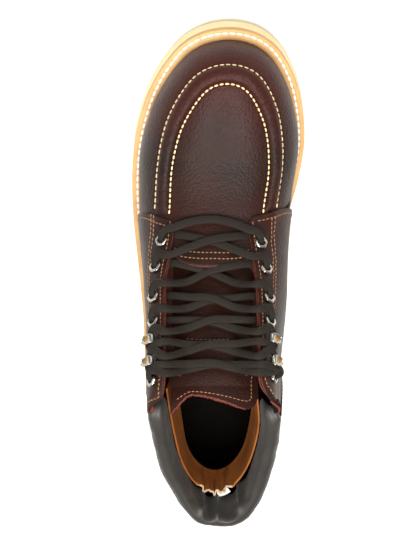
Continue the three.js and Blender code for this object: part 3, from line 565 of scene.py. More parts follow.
def inside_middle(centre: Vector) -> Vector:
    """A point in the boot's middle beside a face."""
    return Vector((0, centre.y * 0.8, min(centre.z, 90) * 0.6))


def under_instep(centre: Vector) -> Vector:
    """A point low in the boot, a little ahead of a face of the tongue."""
    return Vector((0, centre.y - 20, 20))


def sheet(
    columns: int, rows: int, place: Place, middle: Callable = inside_middle, paint: Callable | None = None
) -> Mesh:
    """A grid that faces away from a middle line."""
    mesh = grid(columns, rows, place, paint=paint)
    face_out(mesh, middle)
    return mesh


def gather(whole: Mesh, part: Mesh) -> None:
    """Moves a small mesh into a larger one."""
    data = bpy.data.meshes.new("part")
    part.to_mesh(data)
    part.free()
    whole.from_mesh(data)
    bpy.data.meshes.remove(data)


def linear(code: str, alpha: float = 1.0) -> tuple[float, float, float, float]:
    """Turns an sRGB hex value to the linear colour that a shader takes."""
    shares = [int(code[i : i + 2], 16) / 255 for i in (0, 2, 4)]
    red, green, blue = (c / 12.92 if c <= 0.04045 else ((c + 0.055) / 1.055) ** 2.4 for c in shares)
    return red, green, blue, alpha


def connect(tree: Tree, node: bpy.types.Node, inputs: dict) -> None:
    """Gives a node's inputs a value or another node's output each."""
    for name, value in inputs.items():
        if isinstance(value, Socket):
            tree.links.new(value, node.inputs[name])
        else:
            node.inputs[name].default_value = value


def add_node(tree: Tree, kind: str, settings: dict, inputs: dict) -> bpy.types.Node:
    """Adds a node with its settings and links.

    Args:
        tree: the material's nodes.
        kind: the node's type.
        settings: values of the node's own properties.
        inputs: a value or another node's output for each named or numbered input.

    Returns:
        The node.
    """
    node = tree.nodes.new(kind)
    for name, value in settings.items():
        setattr(node, name, value)
    connect(tree, node, inputs)
    return node


def ramp(tree: Tree, share: Socket, stops: Sequence[tuple[float, str]]) -> Socket:
    """Colours a value from 0 to 1 by a few sRGB hex stops.

    Args:
        tree: the material's nodes.
        share: the value.
        stops: places from 0 to 1 with their colours.

    Returns:
        The colour output.
    """
    node = add_node(tree, "ShaderNodeValToRGB", {}, {"Fac": share})
    band = node.color_ramp
    while len(band.elements) < len(stops):
        band.elements.new(0.5)
    for element, (place, code) in zip(band.elements, stops):
        element.position = place
        element.color = linear(code)
    return node.outputs["Color"]


def new_material(name: str) -> tuple[bpy.types.Material, Tree, bpy.types.Node]:
    """A material with its tree and its shader."""
    material = bpy.data.materials.new(name)
    material.use_nodes = True
    tree = material.node_tree
    return material, tree, tree.nodes["Principled BSDF"]
def noise_of(tree: Tree, where: Socket, size: float, detail: float, roughness: float = 0.5) -> Socket:
    """A noise with lumps of a size in millimetres."""
    inputs = {"Vector": where, "Scale": 1 / (size * MM), "Detail": detail, "Roughness": roughness}
    return add_node(tree, "ShaderNodeTexNoise", {}, inputs).outputs["Fac"]


def tone_of(tree: Tree) -> Socket:
    """The tone attribute of the piece."""
    return add_node(tree, "ShaderNodeAttribute", {"attribute_name": "tone"}, {}).outputs["Fac"]


def coordinates(tree: Tree, kind: str) -> Socket:
    """Object or UV coordinates."""
    return add_node(tree, "ShaderNodeTexCoord", {}, {}).outputs[kind]


def blend(
    tree: Tree, factor: Socket | float, first: Socket, second: Socket | tuple, kind: str = "MIX"
) -> Socket:
    """Mixes two colours."""
    settings = {"data_type": "RGBA", "blend_type": kind}
    inputs = {"Factor": factor, "A": first, "B": second}
    return add_node(tree, "ShaderNodeMix", settings, inputs).outputs["Result"]


def spread(tree: Tree, value: Socket, limits: dict[str, float]) -> Socket:
    """Brings a value from one span to another."""
    return add_node(tree, "ShaderNodeMapRange", {}, {"Value": value, **limits}).outputs["Result"]


def times_plus(tree: Tree, value: Socket, factor: float, plus: Socket) -> Socket:
    """Multiplies a value and adds another."""
    inputs = {0: value, 1: factor, 2: plus}
    return add_node(tree, "ShaderNodeMath", {"operation": "MULTIPLY_ADD"}, inputs).outputs[0]


def bump_of(tree: Tree, height: Socket, strength: float, depth: float, invert: bool = False) -> Socket:
    """The normal of a surface with a relief of a depth in millimetres."""
    inputs = {"Height": height, "Strength": strength, "Distance": depth * MM}
    return add_node(tree, "ShaderNodeBump", {"invert": invert}, inputs).outputs["Normal"]


@dataclass(frozen=True)
class OiledLeather:
    """Oiled and waxed leather: a pebbled grain, darker in its pores, greyish where light grazes it."""

    name: str = "oiled_pull_up_leather"
    shade: str = "120a07"
    body: str = "2a1810"
    warm: str = "3a140d"
    dust: str = "b9a79a"
    roughness: float = 0.5
    specular: float = 0.15
    grain: float = 1.5
    pore: float = 0.5
    cloud: float = 26.0
    sheen: float = 0.03
    relief: float = 0.3

    def build(self) -> bpy.types.Material:
        """Makes the material: clouds of dye, a warmer tone where the attribute asks, pebbles and pores."""
        material, tree, shader = new_material(self.name)
        where = coordinates(tree, "Object")
        cloud = noise_of(tree, where, self.cloud, 5.0, 0.6)
        dye = ramp(tree, cloud, ((0.25, self.shade), (0.72, self.body)))
        warm = blend(tree, tone_of(tree), dye, linear(self.warm))
        pebble = add_node(
            tree,
            "ShaderNodeTexVoronoi",
            {"feature": "SMOOTH_F1"},
            {"Vector": where, "Scale": 1 / (self.grain * MM), "Smoothness": 0.6, "Randomness": 1.0},
        ).outputs["Distance"]
        height = times_plus(tree, noise_of(tree, where, self.pore, 3.0), 0.35, pebble)
        valley = spread(tree, height, {"From Min": 0.25, "From Max": 1.0, "To Min": 1.0, "To Max": 0.82})
        rough = spread(tree, cloud, {"To Min": self.roughness - 0.08, "To Max": self.roughness + 0.1})
        inputs = {
            "Base Color": blend(tree, 1.0, warm, valley, "MULTIPLY"),
            "Roughness": rough,
            "Normal": bump_of(tree, height, 0.9, self.relief, invert=True),
            "Sheen Weight": self.sheen,
            "Sheen Roughness": 0.5,
            "Sheen Tint": linear(self.dust),
            "Specular IOR Level": self.specular,
        }
        connect(tree, shader, inputs)
        return material


@dataclass(frozen=True)
class PlainSurface:
    """A surface of one colour with soft clouds, a fine grain and some roughness."""

    name: str
    colour: str
    second: str
    roughness: float
    cloud: float
    grain: float
    depth: float
    metallic: float = 0.0
    sheen: float = 0.0
    toned: str = ""
    specular: float = 0.35

    def build(self) -> bpy.types.Material:
        """Makes the material from two mixed tones, a third where the tone attribute asks, and a grain."""
        material, tree, shader = new_material(self.name)
        where = coordinates(tree, "Object")
        colour = ramp(tree, noise_of(tree, where, self.cloud, 4.0), ((0.3, self.colour), (0.7, self.second)))
        if self.toned:
            colour = blend(tree, tone_of(tree), colour, linear(self.toned))
        inputs = {
            "Base Color": colour,
            "Normal": bump_of(tree, noise_of(tree, where, self.grain, 4.0), 0.5, self.depth),
            "Roughness": self.roughness,
            "Metallic": self.metallic,
            "Specular IOR Level": self.specular,
            "Sheen Weight": self.sheen,
        }
        connect(tree, shader, inputs)
        return material


@dataclass(frozen=True)
class Braid:
    """Flat woven lace of waxed polyester: fine bands of yarn across its lengthwise ribs."""

    name: str = "woven_lace_braid"
    colour: str = "221a12"
    dark: str = "120f0c"
    yarn: float = 0.9

    def build(self) -> bpy.types.Material:
        """Makes the material: bands of yarn across the lace, from its UV map in millimetres."""
        material, tree, shader = new_material(self.name)
        uv = coordinates(tree, "UV")
        bands = add_node(
            tree,
            "ShaderNodeTexWave",
            {"wave_type": "BANDS", "bands_direction": "X"},
            {"Vector": uv, "Scale": 0.314 / self.yarn, "Distortion": 0.6, "Detail": 1.0},
        ).outputs["Fac"]
        fuzz = add_node(tree, "ShaderNodeTexNoise", {}, {"Vector": uv, "Scale": 2.5, "Detail": 3.0})
        height = times_plus(tree, fuzz.outputs["Fac"], 0.6, bands)
        inputs = {
            "Base Color": ramp(tree, height, ((0.2, self.dark), (1.0, self.colour))),
            "Normal": bump_of(tree, height, 0.6, 0.12),
            "Roughness": 0.8,
            "Specular IOR Level": 0.25,
        }
        connect(tree, shader, inputs)
        return material


LEATHER = OiledLeather()
# toned: the dark that the collar's inner side is mixed towards, partly painted shade where the roll turns
# down into the boot and partly a darker leather.
COLLAR_LEATHER = PlainSurface(
    "soft_collar_leather", "26231f", "302c27", 0.5, 18, 0.7, 0.14, sheen=0.06, toned="130c09"
)
RAW_EDGE = PlainSurface("raw_cut_leather_edge", "4e1d13", "7a3423", 0.85, 2.2, 0.35, 0.25)
LINING = PlainSurface("tan_lining_leather", "7c4216", "96581f", 0.7, 14, 0.5, 0.15)
# Near-black finish of the quarter lining: painted shade standing in for the deep shade inside the boot.
PAINTED_SHADE_LINING = PlainSurface("painted_shade_lining", "0d0806", "150d09", 0.8, 14, 0.5, 0.15, specular=0.1)
GUSSET = PlainSurface("soft_gusset_leather", "2a140c", "4a2312", 0.7, 9, 0.5, 0.2)
LINING_EDGE = PlainSurface("cream_lining_edge", "9c8064", "b89c7c", 0.8, 3, 0.4, 0.1)
CREPE = PlainSurface("cream_crepe_rubber", "ddc895", "e6d5a8", 0.62, 22, 0.9, 0.16)
TAN_RUBBER = PlainSurface("tan_midsole_rubber", "b98c58", "c39a68", 0.6, 16, 0.7, 0.1)
WELT_LEATHER = PlainSurface("natural_welt_leather", "c29258", "cea36c", 0.5, 9, 0.5, 0.1)
FOOTBED = PlainSurface("black_footbed_felt", "080605", "0c0907", 0.95, 10, 0.5, 0.2, specular=0.05)
NICKEL = PlainSurface("polished_nickel_plate", "98948c", "a6a29a", 0.26, 8, 0.6, 0.01, metallic=1.0)
BRASS = PlainSurface("bare_brass_inside", "8f6a34", "a07a42", 0.35, 8, 0.6, 0.01, metallic=1.0)
FOAM = PlainSurface("pale_collar_foam", "b9beb2", "cdd0c6", 0.9, 3, 0.6, 0.3)
WHITE_THREAD = PlainSurface("white_waxed_thread", "f2eee2", "fbf8ef", 0.55, 2, 0.25, 0.06)
CREAM_THREAD = PlainSurface("cream_waxed_thread", "dcb886", "ecd2a4", 0.55, 2, 0.25, 0.06)
TAN_THREAD = PlainSurface("tan_waxed_thread", "74492f", "946a49", 0.55, 2, 0.25, 0.06)
FLOOR = PlainSurface("pale_studio_floor", "f2f1ee", "f6f5f2", 0.8, 400, 40, 0.01)
BRAID = Braid()

Finish = OiledLeather | PlainSurface | Braid


class Slot(Enum):
    """The record's material slots."""

    LEATHER = "oiled_leather"
    COLLAR = "collar_leather"
    CREAM = "cream_rubber"
    TAN = "tan_rubber"
    WELT = "welt_leather"
    FOOTBED = "footbed"
    NICKEL = "nickel"
    BRAID = "braid"


@dataclass
class Workshop:
    """Turns shaped meshes to dressed pieces that ride on the boot."""

    built: dict[str, bpy.types.Material] = field(default_factory=dict)
    edge_angle: float = 50.0

    def finish(self, finish: Finish) -> bpy.types.Material:
        """A finish's material, made once."""
        if finish.name not in self.built:
            self.built[finish.name] = finish.build()
        return self.built[finish.name]

    def piece(
        self,
        name: str,
        mesh: Mesh,
        finishes: Sequence[Finish],
        slot: Slot,
        replaces: Sequence[str] = (),
        wall: float = 0.0,
        rim: int = 0,
        lining: int = 0,
        tone: Callable[[Vector], float] | None = None,
    ) -> bpy.types.Object:
        """Makes a piece of the boot.

        Args:
            name: the piece's name.
            mesh: its shape in millimetres; it is used up.
            finishes: its finishes, the main one first.
            slot: the record's slot that it takes its finish from; not used.
            replaces: the nodes that it stands for.
            wall: the thickness that an open sheet is given inwards, in millimetres.
            rim: which finish the cut edge of that wall has.
            lining: which finish the inner face of that wall has.
            tone: how warm the leather is at a place, from 0 to 1.

        Returns:
            The object.
        """
        data = bpy.data.meshes.new(name)
        bmesh.ops.scale(mesh, vec=(MM, MM, MM), verts=mesh.verts)
        mesh.to_mesh(data)
        mesh.free()
        for polygon in data.polygons:
            polygon.use_smooth = True
        data.set_sharp_from_angle(angle=math.radians(self.edge_angle))
        thing = bpy.data.objects.new(name, data)
        bpy.context.scene.collection.objects.link(thing)
        for finish in finishes:
            data.materials.append(self.finish(finish))
        if tone is not None:
            layer = data.attributes.new("tone", "FLOAT", "POINT")
            layer.data.foreach_set("value", [clamp(tone(vert.co / MM)) for vert in data.vertices])
        if wall:
            solidify = thing.modifiers.new("wall", "SOLIDIFY")
            solidify.thickness = wall * MM
            solidify.offset = -1
            solidify.material_offset_rim = rim
            solidify.material_offset = lining
        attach(thing, "root")
        if replaces:
            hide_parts(*replaces)
        LOG.info("%s: %d faces", name, len(data.polygons))
        return thing


class StitchPoint(NamedTuple):
    """A place on a row of stitches and the way out of the leather there."""

    at: Vector
    out: Vector


@dataclass
class Stitches:
    """Rows of stitches gathered to one piece, each a spindle of thread that lies in the leather."""

    name: str
    finish: Finish
    pitch: float = 3.6
    length: float = 2.9
    width: float = 0.95
    mesh: Mesh = field(default_factory=bmesh.new)
    count: int = 0

    def sew(
        self, line: Sequence[StitchPoint], pitch: float = 0.0, length: float = 0.0, width: float = 0.0
    ) -> None:
        """Sews a row along a line.

        Args:
            line: the row's places, close together.
            pitch: from one stitch to the next, if not the piece's own.
            length: a stitch's length, if not the piece's own.
            width: its width, if not the piece's own.
        """
        pitch = pitch or self.pitch
        length = length or self.length
        width = width or self.width
        reach = [0.0]
        for a, b in zip(line, line[1:]):
            reach.append(reach[-1] + (b.at - a.at).length)
        count = int(reach[-1] / pitch)
        i = 0
        for k in range(count):
            target = (k + 0.5) * reach[-1] / count
            while i < len(line) - 2 and reach[i + 1] < target:
                i += 1
            a, b = line[i], line[i + 1]
            share = (target - reach[i]) / max(reach[i + 1] - reach[i], 1e-9)
            ahead = (b.at - a.at).normalized()
            out = a.out.lerp(b.out, share)
            out = (out - ahead * out.dot(ahead)).normalized()
            side = out.cross(ahead)
            basis = Matrix((side, out, ahead)).transposed().to_4x4()
            scale = Matrix.Diagonal((width / 2, width * 0.42, length / 2, 1))
            spot = Matrix.Translation(a.at.lerp(b.at, share) + out * width * 0.12)
            self.add(spot @ basis @ scale)

    def add(self, matrix: Matrix) -> None:
        """Adds one spindle of thread at its place."""
        part = bmesh.new()
        bmesh.ops.create_uvsphere(part, u_segments=8, v_segments=5, radius=1, matrix=matrix)
        gather(self.mesh, part)
        self.count += 1

    def finish_piece(self, shop: Workshop, slot: Slot) -> bpy.types.Object:
        """Makes the piece from its rows."""
        LOG.info("%s: %d stitches", self.name, self.count)
        return shop.piece(self.name, self.mesh, [self.finish], slot)


@dataclass
class Sole:
    """The wedge outsole, the midsole, the welt and the footbed."""

    last: Last
    shop: Workshop
    steps: int = 130
    ribs: tuple[float, ...] = (0.24, 0.42, 0.6, 0.78)
    rib_depth: float = 0.55
    rib_half: float = 0.05
    tread_bevel: float = 1.5
    edge_round: float = 0.5
    welt_inner: float = 5.0
    insole: float = 3.0
    insole_clear: float = 2.3
    groove_depth: float = 2.5
    groove_width: float = 3.5
    groove_pitch: float = 20.0
    chevron: float = 6.0
    rim: float = 10.0
    rim_taper: float = 0.8
    shank: tuple[float, float] = (0.3, 0.42)

    def slab(self, profile: Callable[[float], list[tuple[float, float]]], across: int) -> Mesh:
        """A closed plate with the outline of the sole.

        Args:
            profile: the side from its lower to its upper edge at a place along: each inset and height.
            across: how many faces lie between the two sides.

        Returns:
            The plate.
        """
        last = self.last
        side = len(profile(0.0))
        over = side - 1 + across
        back = over + side - 1
        rows = back + across

        def place(turn: float, up: float) -> Vector:
            steps = profile(last.sole_point(turn)[1])
            k = round(up * rows) % rows
            if k < side:
                inset, z = steps[k]
                return last.place(*last.outline(turn, inset), z)
            if over <= k <= back:
                inset, z = steps[back - k]
                return last.place(*last.outline(-turn, inset), z)
            inset, z = steps[-1 if k < over else 0]
            start, end = last.outline(turn, inset), last.outline(-turn, inset)
            share = (k - side + 1) / across
            if k > back:
                start, end, share = end, start, (k - back) / across
            return last.place(mix(start[0], end[0], share), mix(start[1], end[1], share), z)

        mesh = grid(self.steps, rows, place)
        close(mesh)
        return mesh

    def outsole_side(self, s: float) -> list[tuple[float, float]]:
        """The outsole's side at a place along: a bevelled foot, and ribs between fine grooves."""
        low, high = self.last.tread(s), self.last.outsole_top(s)
        steps = [(self.tread_bevel, low), (0.45, low + 0.45), (0.0, low + self.tread_bevel)]
        for rib in self.ribs:
            for share, inset in ((-1, 0.0), (-0.5, 0.7), (0, 1.0), (0.5, 0.7), (1, 0.0)):
                steps.append((inset * self.rib_depth, mix(low, high, rib + share * self.rib_half)))
        steps += [(0.0, high - 0.6), (0.15, high - 0.15), (0.6, high)]
        return steps

    def plate_side(self, low: Callable[[float], float], high: Callable[[float], float]) -> Callable:
        """The side of a plain layer with softly rounded edges."""
        r = self.edge_round

        def steps(s: float) -> list[tuple[float, float]]:
            a, b = low(s), high(s)
            lower = [(r, a), (0.3 * r, a + 0.3 * r), (0.0, a + r)]
            return lower + [(0.0, b - r), (0.3 * r, b - 0.3 * r), (r, b)]

        return steps

    def build(self) -> None:
        """Makes the four pieces and the stitches of the welt."""
        last = self.last
        outsole = self.shop.piece(
            "wedge_outsole", self.slab(self.outsole_side, 14), [CREPE], Slot.CREAM, ["outsole"]
        )
        self.cut_tread(outsole)
        low = self.plate_side(last.outsole_top, lambda s: last.midsole_top(s) + last.seat_gap)
        self.shop.piece("midsole_layer", self.slab(low, 10), [TAN_RUBBER], Slot.TAN, ["midsole"])
        self.shop.piece("welt_strip", self.make_welt(), [WELT_LEATHER], Slot.WELT, ["welt"])
        self.shop.piece("footbed", self.make_footbed(), [FOOTBED], Slot.FOOTBED, ["insole"])
        thread = Stitches("welt_stitches", WHITE_THREAD, pitch=4.7, length=4.4, width=1.5)
        thread.sew(self.welt_line())
        thread.finish_piece(self.shop, Slot.WELT)

    def cut_tread(self, outsole: bpy.types.Object) -> None:
        """Cuts the chevron grooves into the underside."""
        last = self.last
        cutters = bmesh.new()
        count = int(last.length / self.groove_pitch) - 1
        for k in range(count):
            s = self.groove_pitch * (1.5 + k)
            if self.shank[0] < s / last.length < self.shank[1] or s > last.length - self.groove_pitch:
                continue
            station = s / last.length
            taper = 2 * self.groove_pitch * max(0, station - self.rim_taper)
            half = last.ball_width * last.half(station) - self.rim - taper
            middle = last.ball_width * last.centre(station)
            top = last.tread(s) + self.groove_depth

            def place(along: float, up: float) -> Vector:
                x = middle + half * (2 * along - 1)
                ahead = self.chevron * (1 - abs(2 * along - 1))
                return last.place(x, s + ahead + up * self.groove_width, top)

            part = grid(2, 1, place)
            edges = bmesh.ops.extrude_face_region(part, geom=list(part.faces))
            moved = [item for item in edges["geom"] if isinstance(item, bmesh.types.BMVert)]
            bmesh.ops.translate(part, verts=moved, vec=(0, 0, -top - 3))
            bmesh.ops.recalc_face_normals(part, faces=part.faces)
            gather(cutters, part)
        bmesh.ops.scale(cutters, vec=(MM, MM, MM), verts=cutters.verts)
        data = bpy.data.meshes.new("tread_grooves")
        cutters.to_mesh(data)
        cutters.free()
        tool = bpy.data.objects.new("tread_grooves", data)
        bpy.context.scene.collection.objects.link(tool)
        cut = outsole.modifiers.new("tread", "BOOLEAN")
        cut.operation = "DIFFERENCE"
        cut.solver = "EXACT"
        cut.object = tool
        bpy.context.view_layer.update()
        result = bpy.data.meshes.new_from_object(outsole.evaluated_get(bpy.context.evaluated_depsgraph_get()))
        outsole.modifiers.remove(cut)
        outsole.data = result
        bpy.data.objects.remove(tool)

    def make_welt(self) -> Mesh:
        """A ring with a round outer edge and a channel for its stitches."""
        last = self.last
        rows = 24

        def place(along: float, up: float) -> Vector:
            turn = mix(-1, 1, along)
            station = station_of(turn)
            s = last.sole_point(turn)[1]
            low, high = last.midsole_top(s) + last.seat_gap, last.welt_top(s)
            wide = last.margin(station) + self.welt_inner
            k = round(up * rows) % rows
            if k == 0:
                inset, z = wide, low
            elif k == 1:
                inset, z = self.edge_round, low
            elif k < 7:
                angle = mix(-1, 1, (k - 2) / 4) * math.pi / 2
                inset = 0.8 - 0.8 * math.cos(angle)
                z = mix(low, high, 0.5) + (high - low) / 2 * math.sin(angle)
            else:
                share = (k - 7) / (rows - 8)
                inset = mix(1.0, wide, share)
                channel = 0.45 * hump(inset - self.stitch_inset(station), 0.9)
                z = high - channel + 0.25 * math.sin(math.pi * share)
            return last.place(*last.outline(turn, inset), z)

        mesh = grid(520, rows, place)
        close(mesh)
        return mesh

    def stitch_inset(self, station: float) -> float:
        """How far the welt's stitches lie from its edge."""
        return mix(3.7, 2.6, smooth(0.8, 1, station))

    def welt_line(self) -> list[StitchPoint]:
        """The line of the welt's stitches."""
        last = self.last
        edges = [last.outline(turn, self.stitch_inset(station_of(turn))) for turn in evenly(-1, 1, 700)]
        up = Vector((0, 0, 1))
        return [StitchPoint(last.place(x, s, last.welt_top(s) - 0.1), up) for x, s in edges]

    def make_footbed(self) -> Mesh:
        """A cushioned plate inside the upper."""
        last = self.last
        def side(s: float) -> list[tuple[float, float]]:
            station = clamp(s / last.length)
            inner = last.margin(station) + self.insole_clear
            low = last.welt_top(s) + last.seat_gap
            top = low + self.insole
            return [(inner, low), (inner, top - 1), (inner + 0.4, top - 0.3), (inner + 1.2, top)]

        return self.slab(side, 12)


@dataclass
class Upper:
    """The leather: the vamp with its raised toe seam, the quarters, the heel counter and the lining."""

    last: Last
    shop: Workshop
    flap_wall: float = 1.4
    roll_height: float = 2.9
    roll_start: tuple[float, float] = (0.645, 0.664)
    seam_groove: float = 0.8
    throat_floor: float = 60.0
    tab_end: float = 172.0
    tab_curve: float = 7.0
    sheet_end: float = 158.0
    pleat: float = 4.2
    flap_corner: float = 7.0
    steps: int = 700

    def __post_init__(self) -> None:
        """Works out the flaps' top edges once, and the front edge's curve."""
        self.front = column(FLAP_FRONT, "station", "height")
        self.counter_top = Curve(COUNTER_TOP)
        self.flap_back = {1: 5.0, -1: 1.5}
        self.tops = [self.find_top(turn) for turn in evenly(-1, 1, self.steps)]

    def find_top(self, turn: float) -> float:
        """How high up its section the flap reaches, to the throat or to the collar's seam."""
        last = self.last
        side = 1 if turn >= 0 else -1

        def is_leather(v: float) -> bool:
            point = last.point(turn, v)
            s = last.along(point)
            if point.z > last.collar_seam(s):
                return False
            if point.z < self.throat_floor or s < THROAT[0].station * last.length:
                return True
            return side * point.x > side * last.throat_edge(side, s)

        return halve(0.25, 1.0, is_leather)

    def flap_top(self, turn: float) -> float:
        """The flap's top edge at any turn, between those worked out."""
        place = (wrap(turn) + 1) / 2 * self.steps
        i = min(int(place), self.steps - 1)
        return mix(self.tops[i], self.tops[i + 1], place - i)

    def relief(self, point: Vector) -> float:
        """The soft unevenness of shaped leather."""
        wide = noise.noise(point / 38) * 0.55
        return wide + noise.noise(point / 13 + Vector((7, 3, 1))) * 0.16

    def roll(self, turn: float, across: float, width: float) -> float:
        """How far the raised seam and its two sunk stitch lines stand off the vamp.

        Args:
            turn: the place round the boot.
            across: 0 at the outer stitch line and 1 at the inner one.
            width: the distance between the lines.

        Returns:
            The height, in millimetres.
        """
        station = station_of(turn)
        fade = smooth(*self.roll_start, station)
        rise = 0.0
        if 0 < across < 1:
            rise = self.roll_height * math.sin(math.pi * across) ** 0.6
            run = turn * 210
            place = run / self.pleat
            swing = noise.noise(Vector((place, across * 0.7, 0)))
            swing += 0.5 * noise.noise(Vector((place * 2.1, across, 5)))
            toe = 1 - 0.75 * smooth(0.88, 0.97, station)
            rise -= 0.6 * toe * abs(swing) * math.sin(math.pi * across)
        edge = min(abs(across), abs(across - 1)) * width
        return fade * (rise - self.seam_groove * hump(edge, 1.0))

    def vamp_point(self, turn: float, v: float) -> Vector:
        """A point of the vamp's outer face."""
        last = self.last
        station = station_of(turn)
        low, high = last.seam["outer"](station), last.seam["inner"](station)
        base = last.point(turn, v)
        width = (last.point(turn, high) - last.point(turn, low)).length
        across = (v - low) / (high - low)
        rise = self.roll(turn, across, width) + self.relief(base)
        if across > 1:
            rise += 0.7 * (1 - hump((across - 1) * width, 6)) * smooth(*self.roll_start, station)
        fade = smooth(0, 0.06, v)
        return base + last.normal(turn, v) * rise * fade

    def tab_turn(self, side: int, level: Callable[[float], float], end: float) -> float:
        """Where a line on the vamp ends on one side.

        Args:
            side: 1 for the outer side, -1 for the inner one.
            level: gives how high up its section the line runs at a station.
            end: how far from the heel it ends.

        Returns:
            The turn of its end, above zero.
        """
        last = self.last

        def is_behind(turn: float) -> bool:
            return last.along(last.point(side * turn, level(station_of(turn)))) < end

        return halve(turn_of(0.42), turn_of(0.8), is_behind)

    def make_vamp(self) -> Mesh:
        """The wall, the raised seam and the plug in one sheet, with the end of the tab under the lace."""
        last = self.last
        wall, roll, plug = 30, 20, 38
        rows = wall + roll + plug

        def level(up: float, station: float) -> float:
            low, high = last.seam["outer"](station), last.seam["inner"](station)
            k = up * rows
            if k <= wall:
                return low * k / wall
            if k <= wall + roll:
                return mix(low, high, (k - wall) / roll)
            return mix(high, 1, (k - wall - roll) / plug)

        starts = []
        for k in range(rows + 1):
            ridge = max(0, (k - wall - roll) / plug)
            tab = self.tab_end + self.tab_curve * (1 - ridge) ** 2
            end = mix(self.sheet_end, tab, smooth(wall, wall + roll, k))

            def line(station: float, up: float = k / rows) -> float:
                return level(up, station)

            starts.append([self.tab_turn(side, line, end) for side in (1, -1)])

        def place(along: float, up: float) -> Vector:
            outer, inner = starts[round(up * rows)]
            turn = mix(outer, 2 - inner, along)
            return self.vamp_point(turn, level(up, station_of(wrap(turn))))

        mesh = grid(400, rows, place)
        bmesh.ops.remove_doubles(mesh, verts=mesh.verts, dist=0.02)
        face_out(mesh, inside_middle)
        return mesh

    def flap_point(self, turn: float, v: float, extra: float = 0.0) -> Vector:
        """A point of a quarter's outer face."""
        last = self.last
        base = last.point(turn, v)
        station = station_of(wrap(turn))
        low, high = last.seam["outer"](station), last.seam["inner"](station)
        width = (last.point(turn, high) - last.point(turn, low)).length
        across = (v - low) / (high - low)
        over_roll = hump((across - 0.5) * width, 7) * smooth(0.6, 0.65, station) * 1.6
        rise = last.seat_gap + self.flap_wall + self.relief(base) * 0.8 + over_roll
        return base + last.normal(turn, v) * (rise + self.creases(base) + extra)

    def creases(self, point: Vector) -> float:
        """The creases of the ankle: soft troughs with a ridge beside them, on both sides."""
        last = self.last
        s = last.along(point)
        total = 0.0
        for start_s, start_z, end_s, end_z, depth, width in ANKLE_CREASES:
            run_s, run_z = end_s - start_s, end_z - start_z
            size = math.hypot(run_s, run_z)
            share = ((s - start_s) * run_s + (point.z - start_z) * run_z) / size**2
            away = ((s - start_s) * run_z - (point.z - start_z) * run_s) / size
            fade = smooth(-0.15, 0.2, share) * (1 - smooth(0.8, 1.15, share))
            total += fade * depth * (0.5 * hump(away - 1.6 * width, width) - hump(away, width))
        return total

    def front_turn(self, side: int, up: float, back: float) -> float:
        """The turn of a flap's front edge, or of a line a distance behind it, above zero."""
        last = self.last

        def is_behind(turn: float) -> bool:
            point = last.point(side * turn, up * self.flap_top(side * turn))
            edge = last.length * self.front(point.z / last.collar_height) - back - self.flap_back[side]
            return last.along(point) < edge

        return halve(turn_of(0.45), turn_of(0.78), is_behind)

    def make_quarter(self, side: int) -> Mesh:
        """A quarter with its flap, from the back of the heel to the flap's front edge."""
        rows, steady = 74, 0.82
        middle = turn_of(0.62) * steady
        fronts = []
        for up in evenly(0, 1, rows):
            corner = clamp((up - 0.92) / 0.08)
            back = self.flap_corner * (1 - math.sqrt(max(1 - corner * corner, 0)))
            fronts.append(self.front_turn(side, up, back))

        def place(along: float, up: float) -> Vector:
            held = along / steady * middle
            late = mix(middle, fronts[round(up * rows)], (along - steady) / (1 - steady))
            turn = side * max(held if along <= steady else late, 0.0015)
            return self.flap_point(turn, up * self.flap_top(turn))

        return sheet(230, rows, place)

    def make_lining(self) -> Mesh:
        """The inner leather of the quarters, right round the heel."""
        reach = turn_of(0.64)

        def place(along: float, up: float) -> Vector:
            turn = mix(-reach, reach, along)
            return self.last.off(turn, up * self.flap_top(turn), -0.2)

        return sheet(260, 40, place)

    def counter_level(self, turn: float) -> float:
        """How high up its section the heel counter reaches."""
        last = self.last

        def is_below(v: float) -> bool:
            point = last.point(turn, v)
            return point.z < last.collar_height * self.counter_top(last.along(point) / last.length)

        return halve(0, 0.9, is_below)

    def make_counter(self) -> Mesh:
        """The overlay round the heel."""
        reach = turn_of(0.244)

        def place(along: float, up: float) -> Vector:
            turn = mix(-reach, reach, along)
            return self.flap_point(turn, up * self.counter_level(turn), self.flap_wall + 0.2)

        return sheet(170, 40, place)

    def tone(self, point: Vector) -> float:
        """How warm the leather is: reddest on the wall round the toe."""
        s = self.last.along(point)
        wall = smooth(215, 285, s) * 0.75
        return clamp(wall + 0.35 * noise.noise(point / 30) + 0.12)

    def down_from_top(self, turn: float, distance: float) -> float:
        """The level that lies a distance below the flap's top edge, measured on the leather."""
        v = self.flap_top(turn)
        before = self.last.point(turn, v)
        run = 0.0
        while run < distance and v > 0.05:
            v -= 0.01
            point = self.last.point(turn, v)
            run += (point - before).length
            before = point
        return v

    def on_flap(self, turn: float, v: float, lift: float = 0.0) -> StitchPoint:
        """A place on a quarter for a stitch."""
        return StitchPoint(self.flap_point(turn, v, lift), self.last.normal(turn, v))

    def seam_line(self, which: str, shift: float) -> list[StitchPoint]:
        """A stitch line of the raised seam.

        Args:
            which: outer or inner.
            shift: how far it lies above the seam's line, as a share of the section.

        Returns:
            The line.
        """
        line = []
        start = turn_of(0.65)
        for turn in evenly(start, 2 - start, 419):
            v = self.last.seam[which](station_of(wrap(turn))) + shift
            line.append(StitchPoint(self.vamp_point(turn, v), self.last.normal(turn, v)))
        return line

    def tab_line(self, back: float) -> list[StitchPoint]:
        """A row across the end of the vamp's tab, a distance ahead of its edge."""
        line = []
        for share in evenly(-0.55, 0.55, 59):
            side = 1 if share >= 0 else -1
            ridge = 1 - abs(share) * 0.5
            target = self.tab_end + self.tab_curve * (1 - ridge) ** 2 * 1.4 + back
            turn = side * self.tab_turn(side, lambda _, ridge=ridge: ridge, target)
            line.append(StitchPoint(self.vamp_point(turn, ridge), self.last.normal(turn, ridge)))
        return line

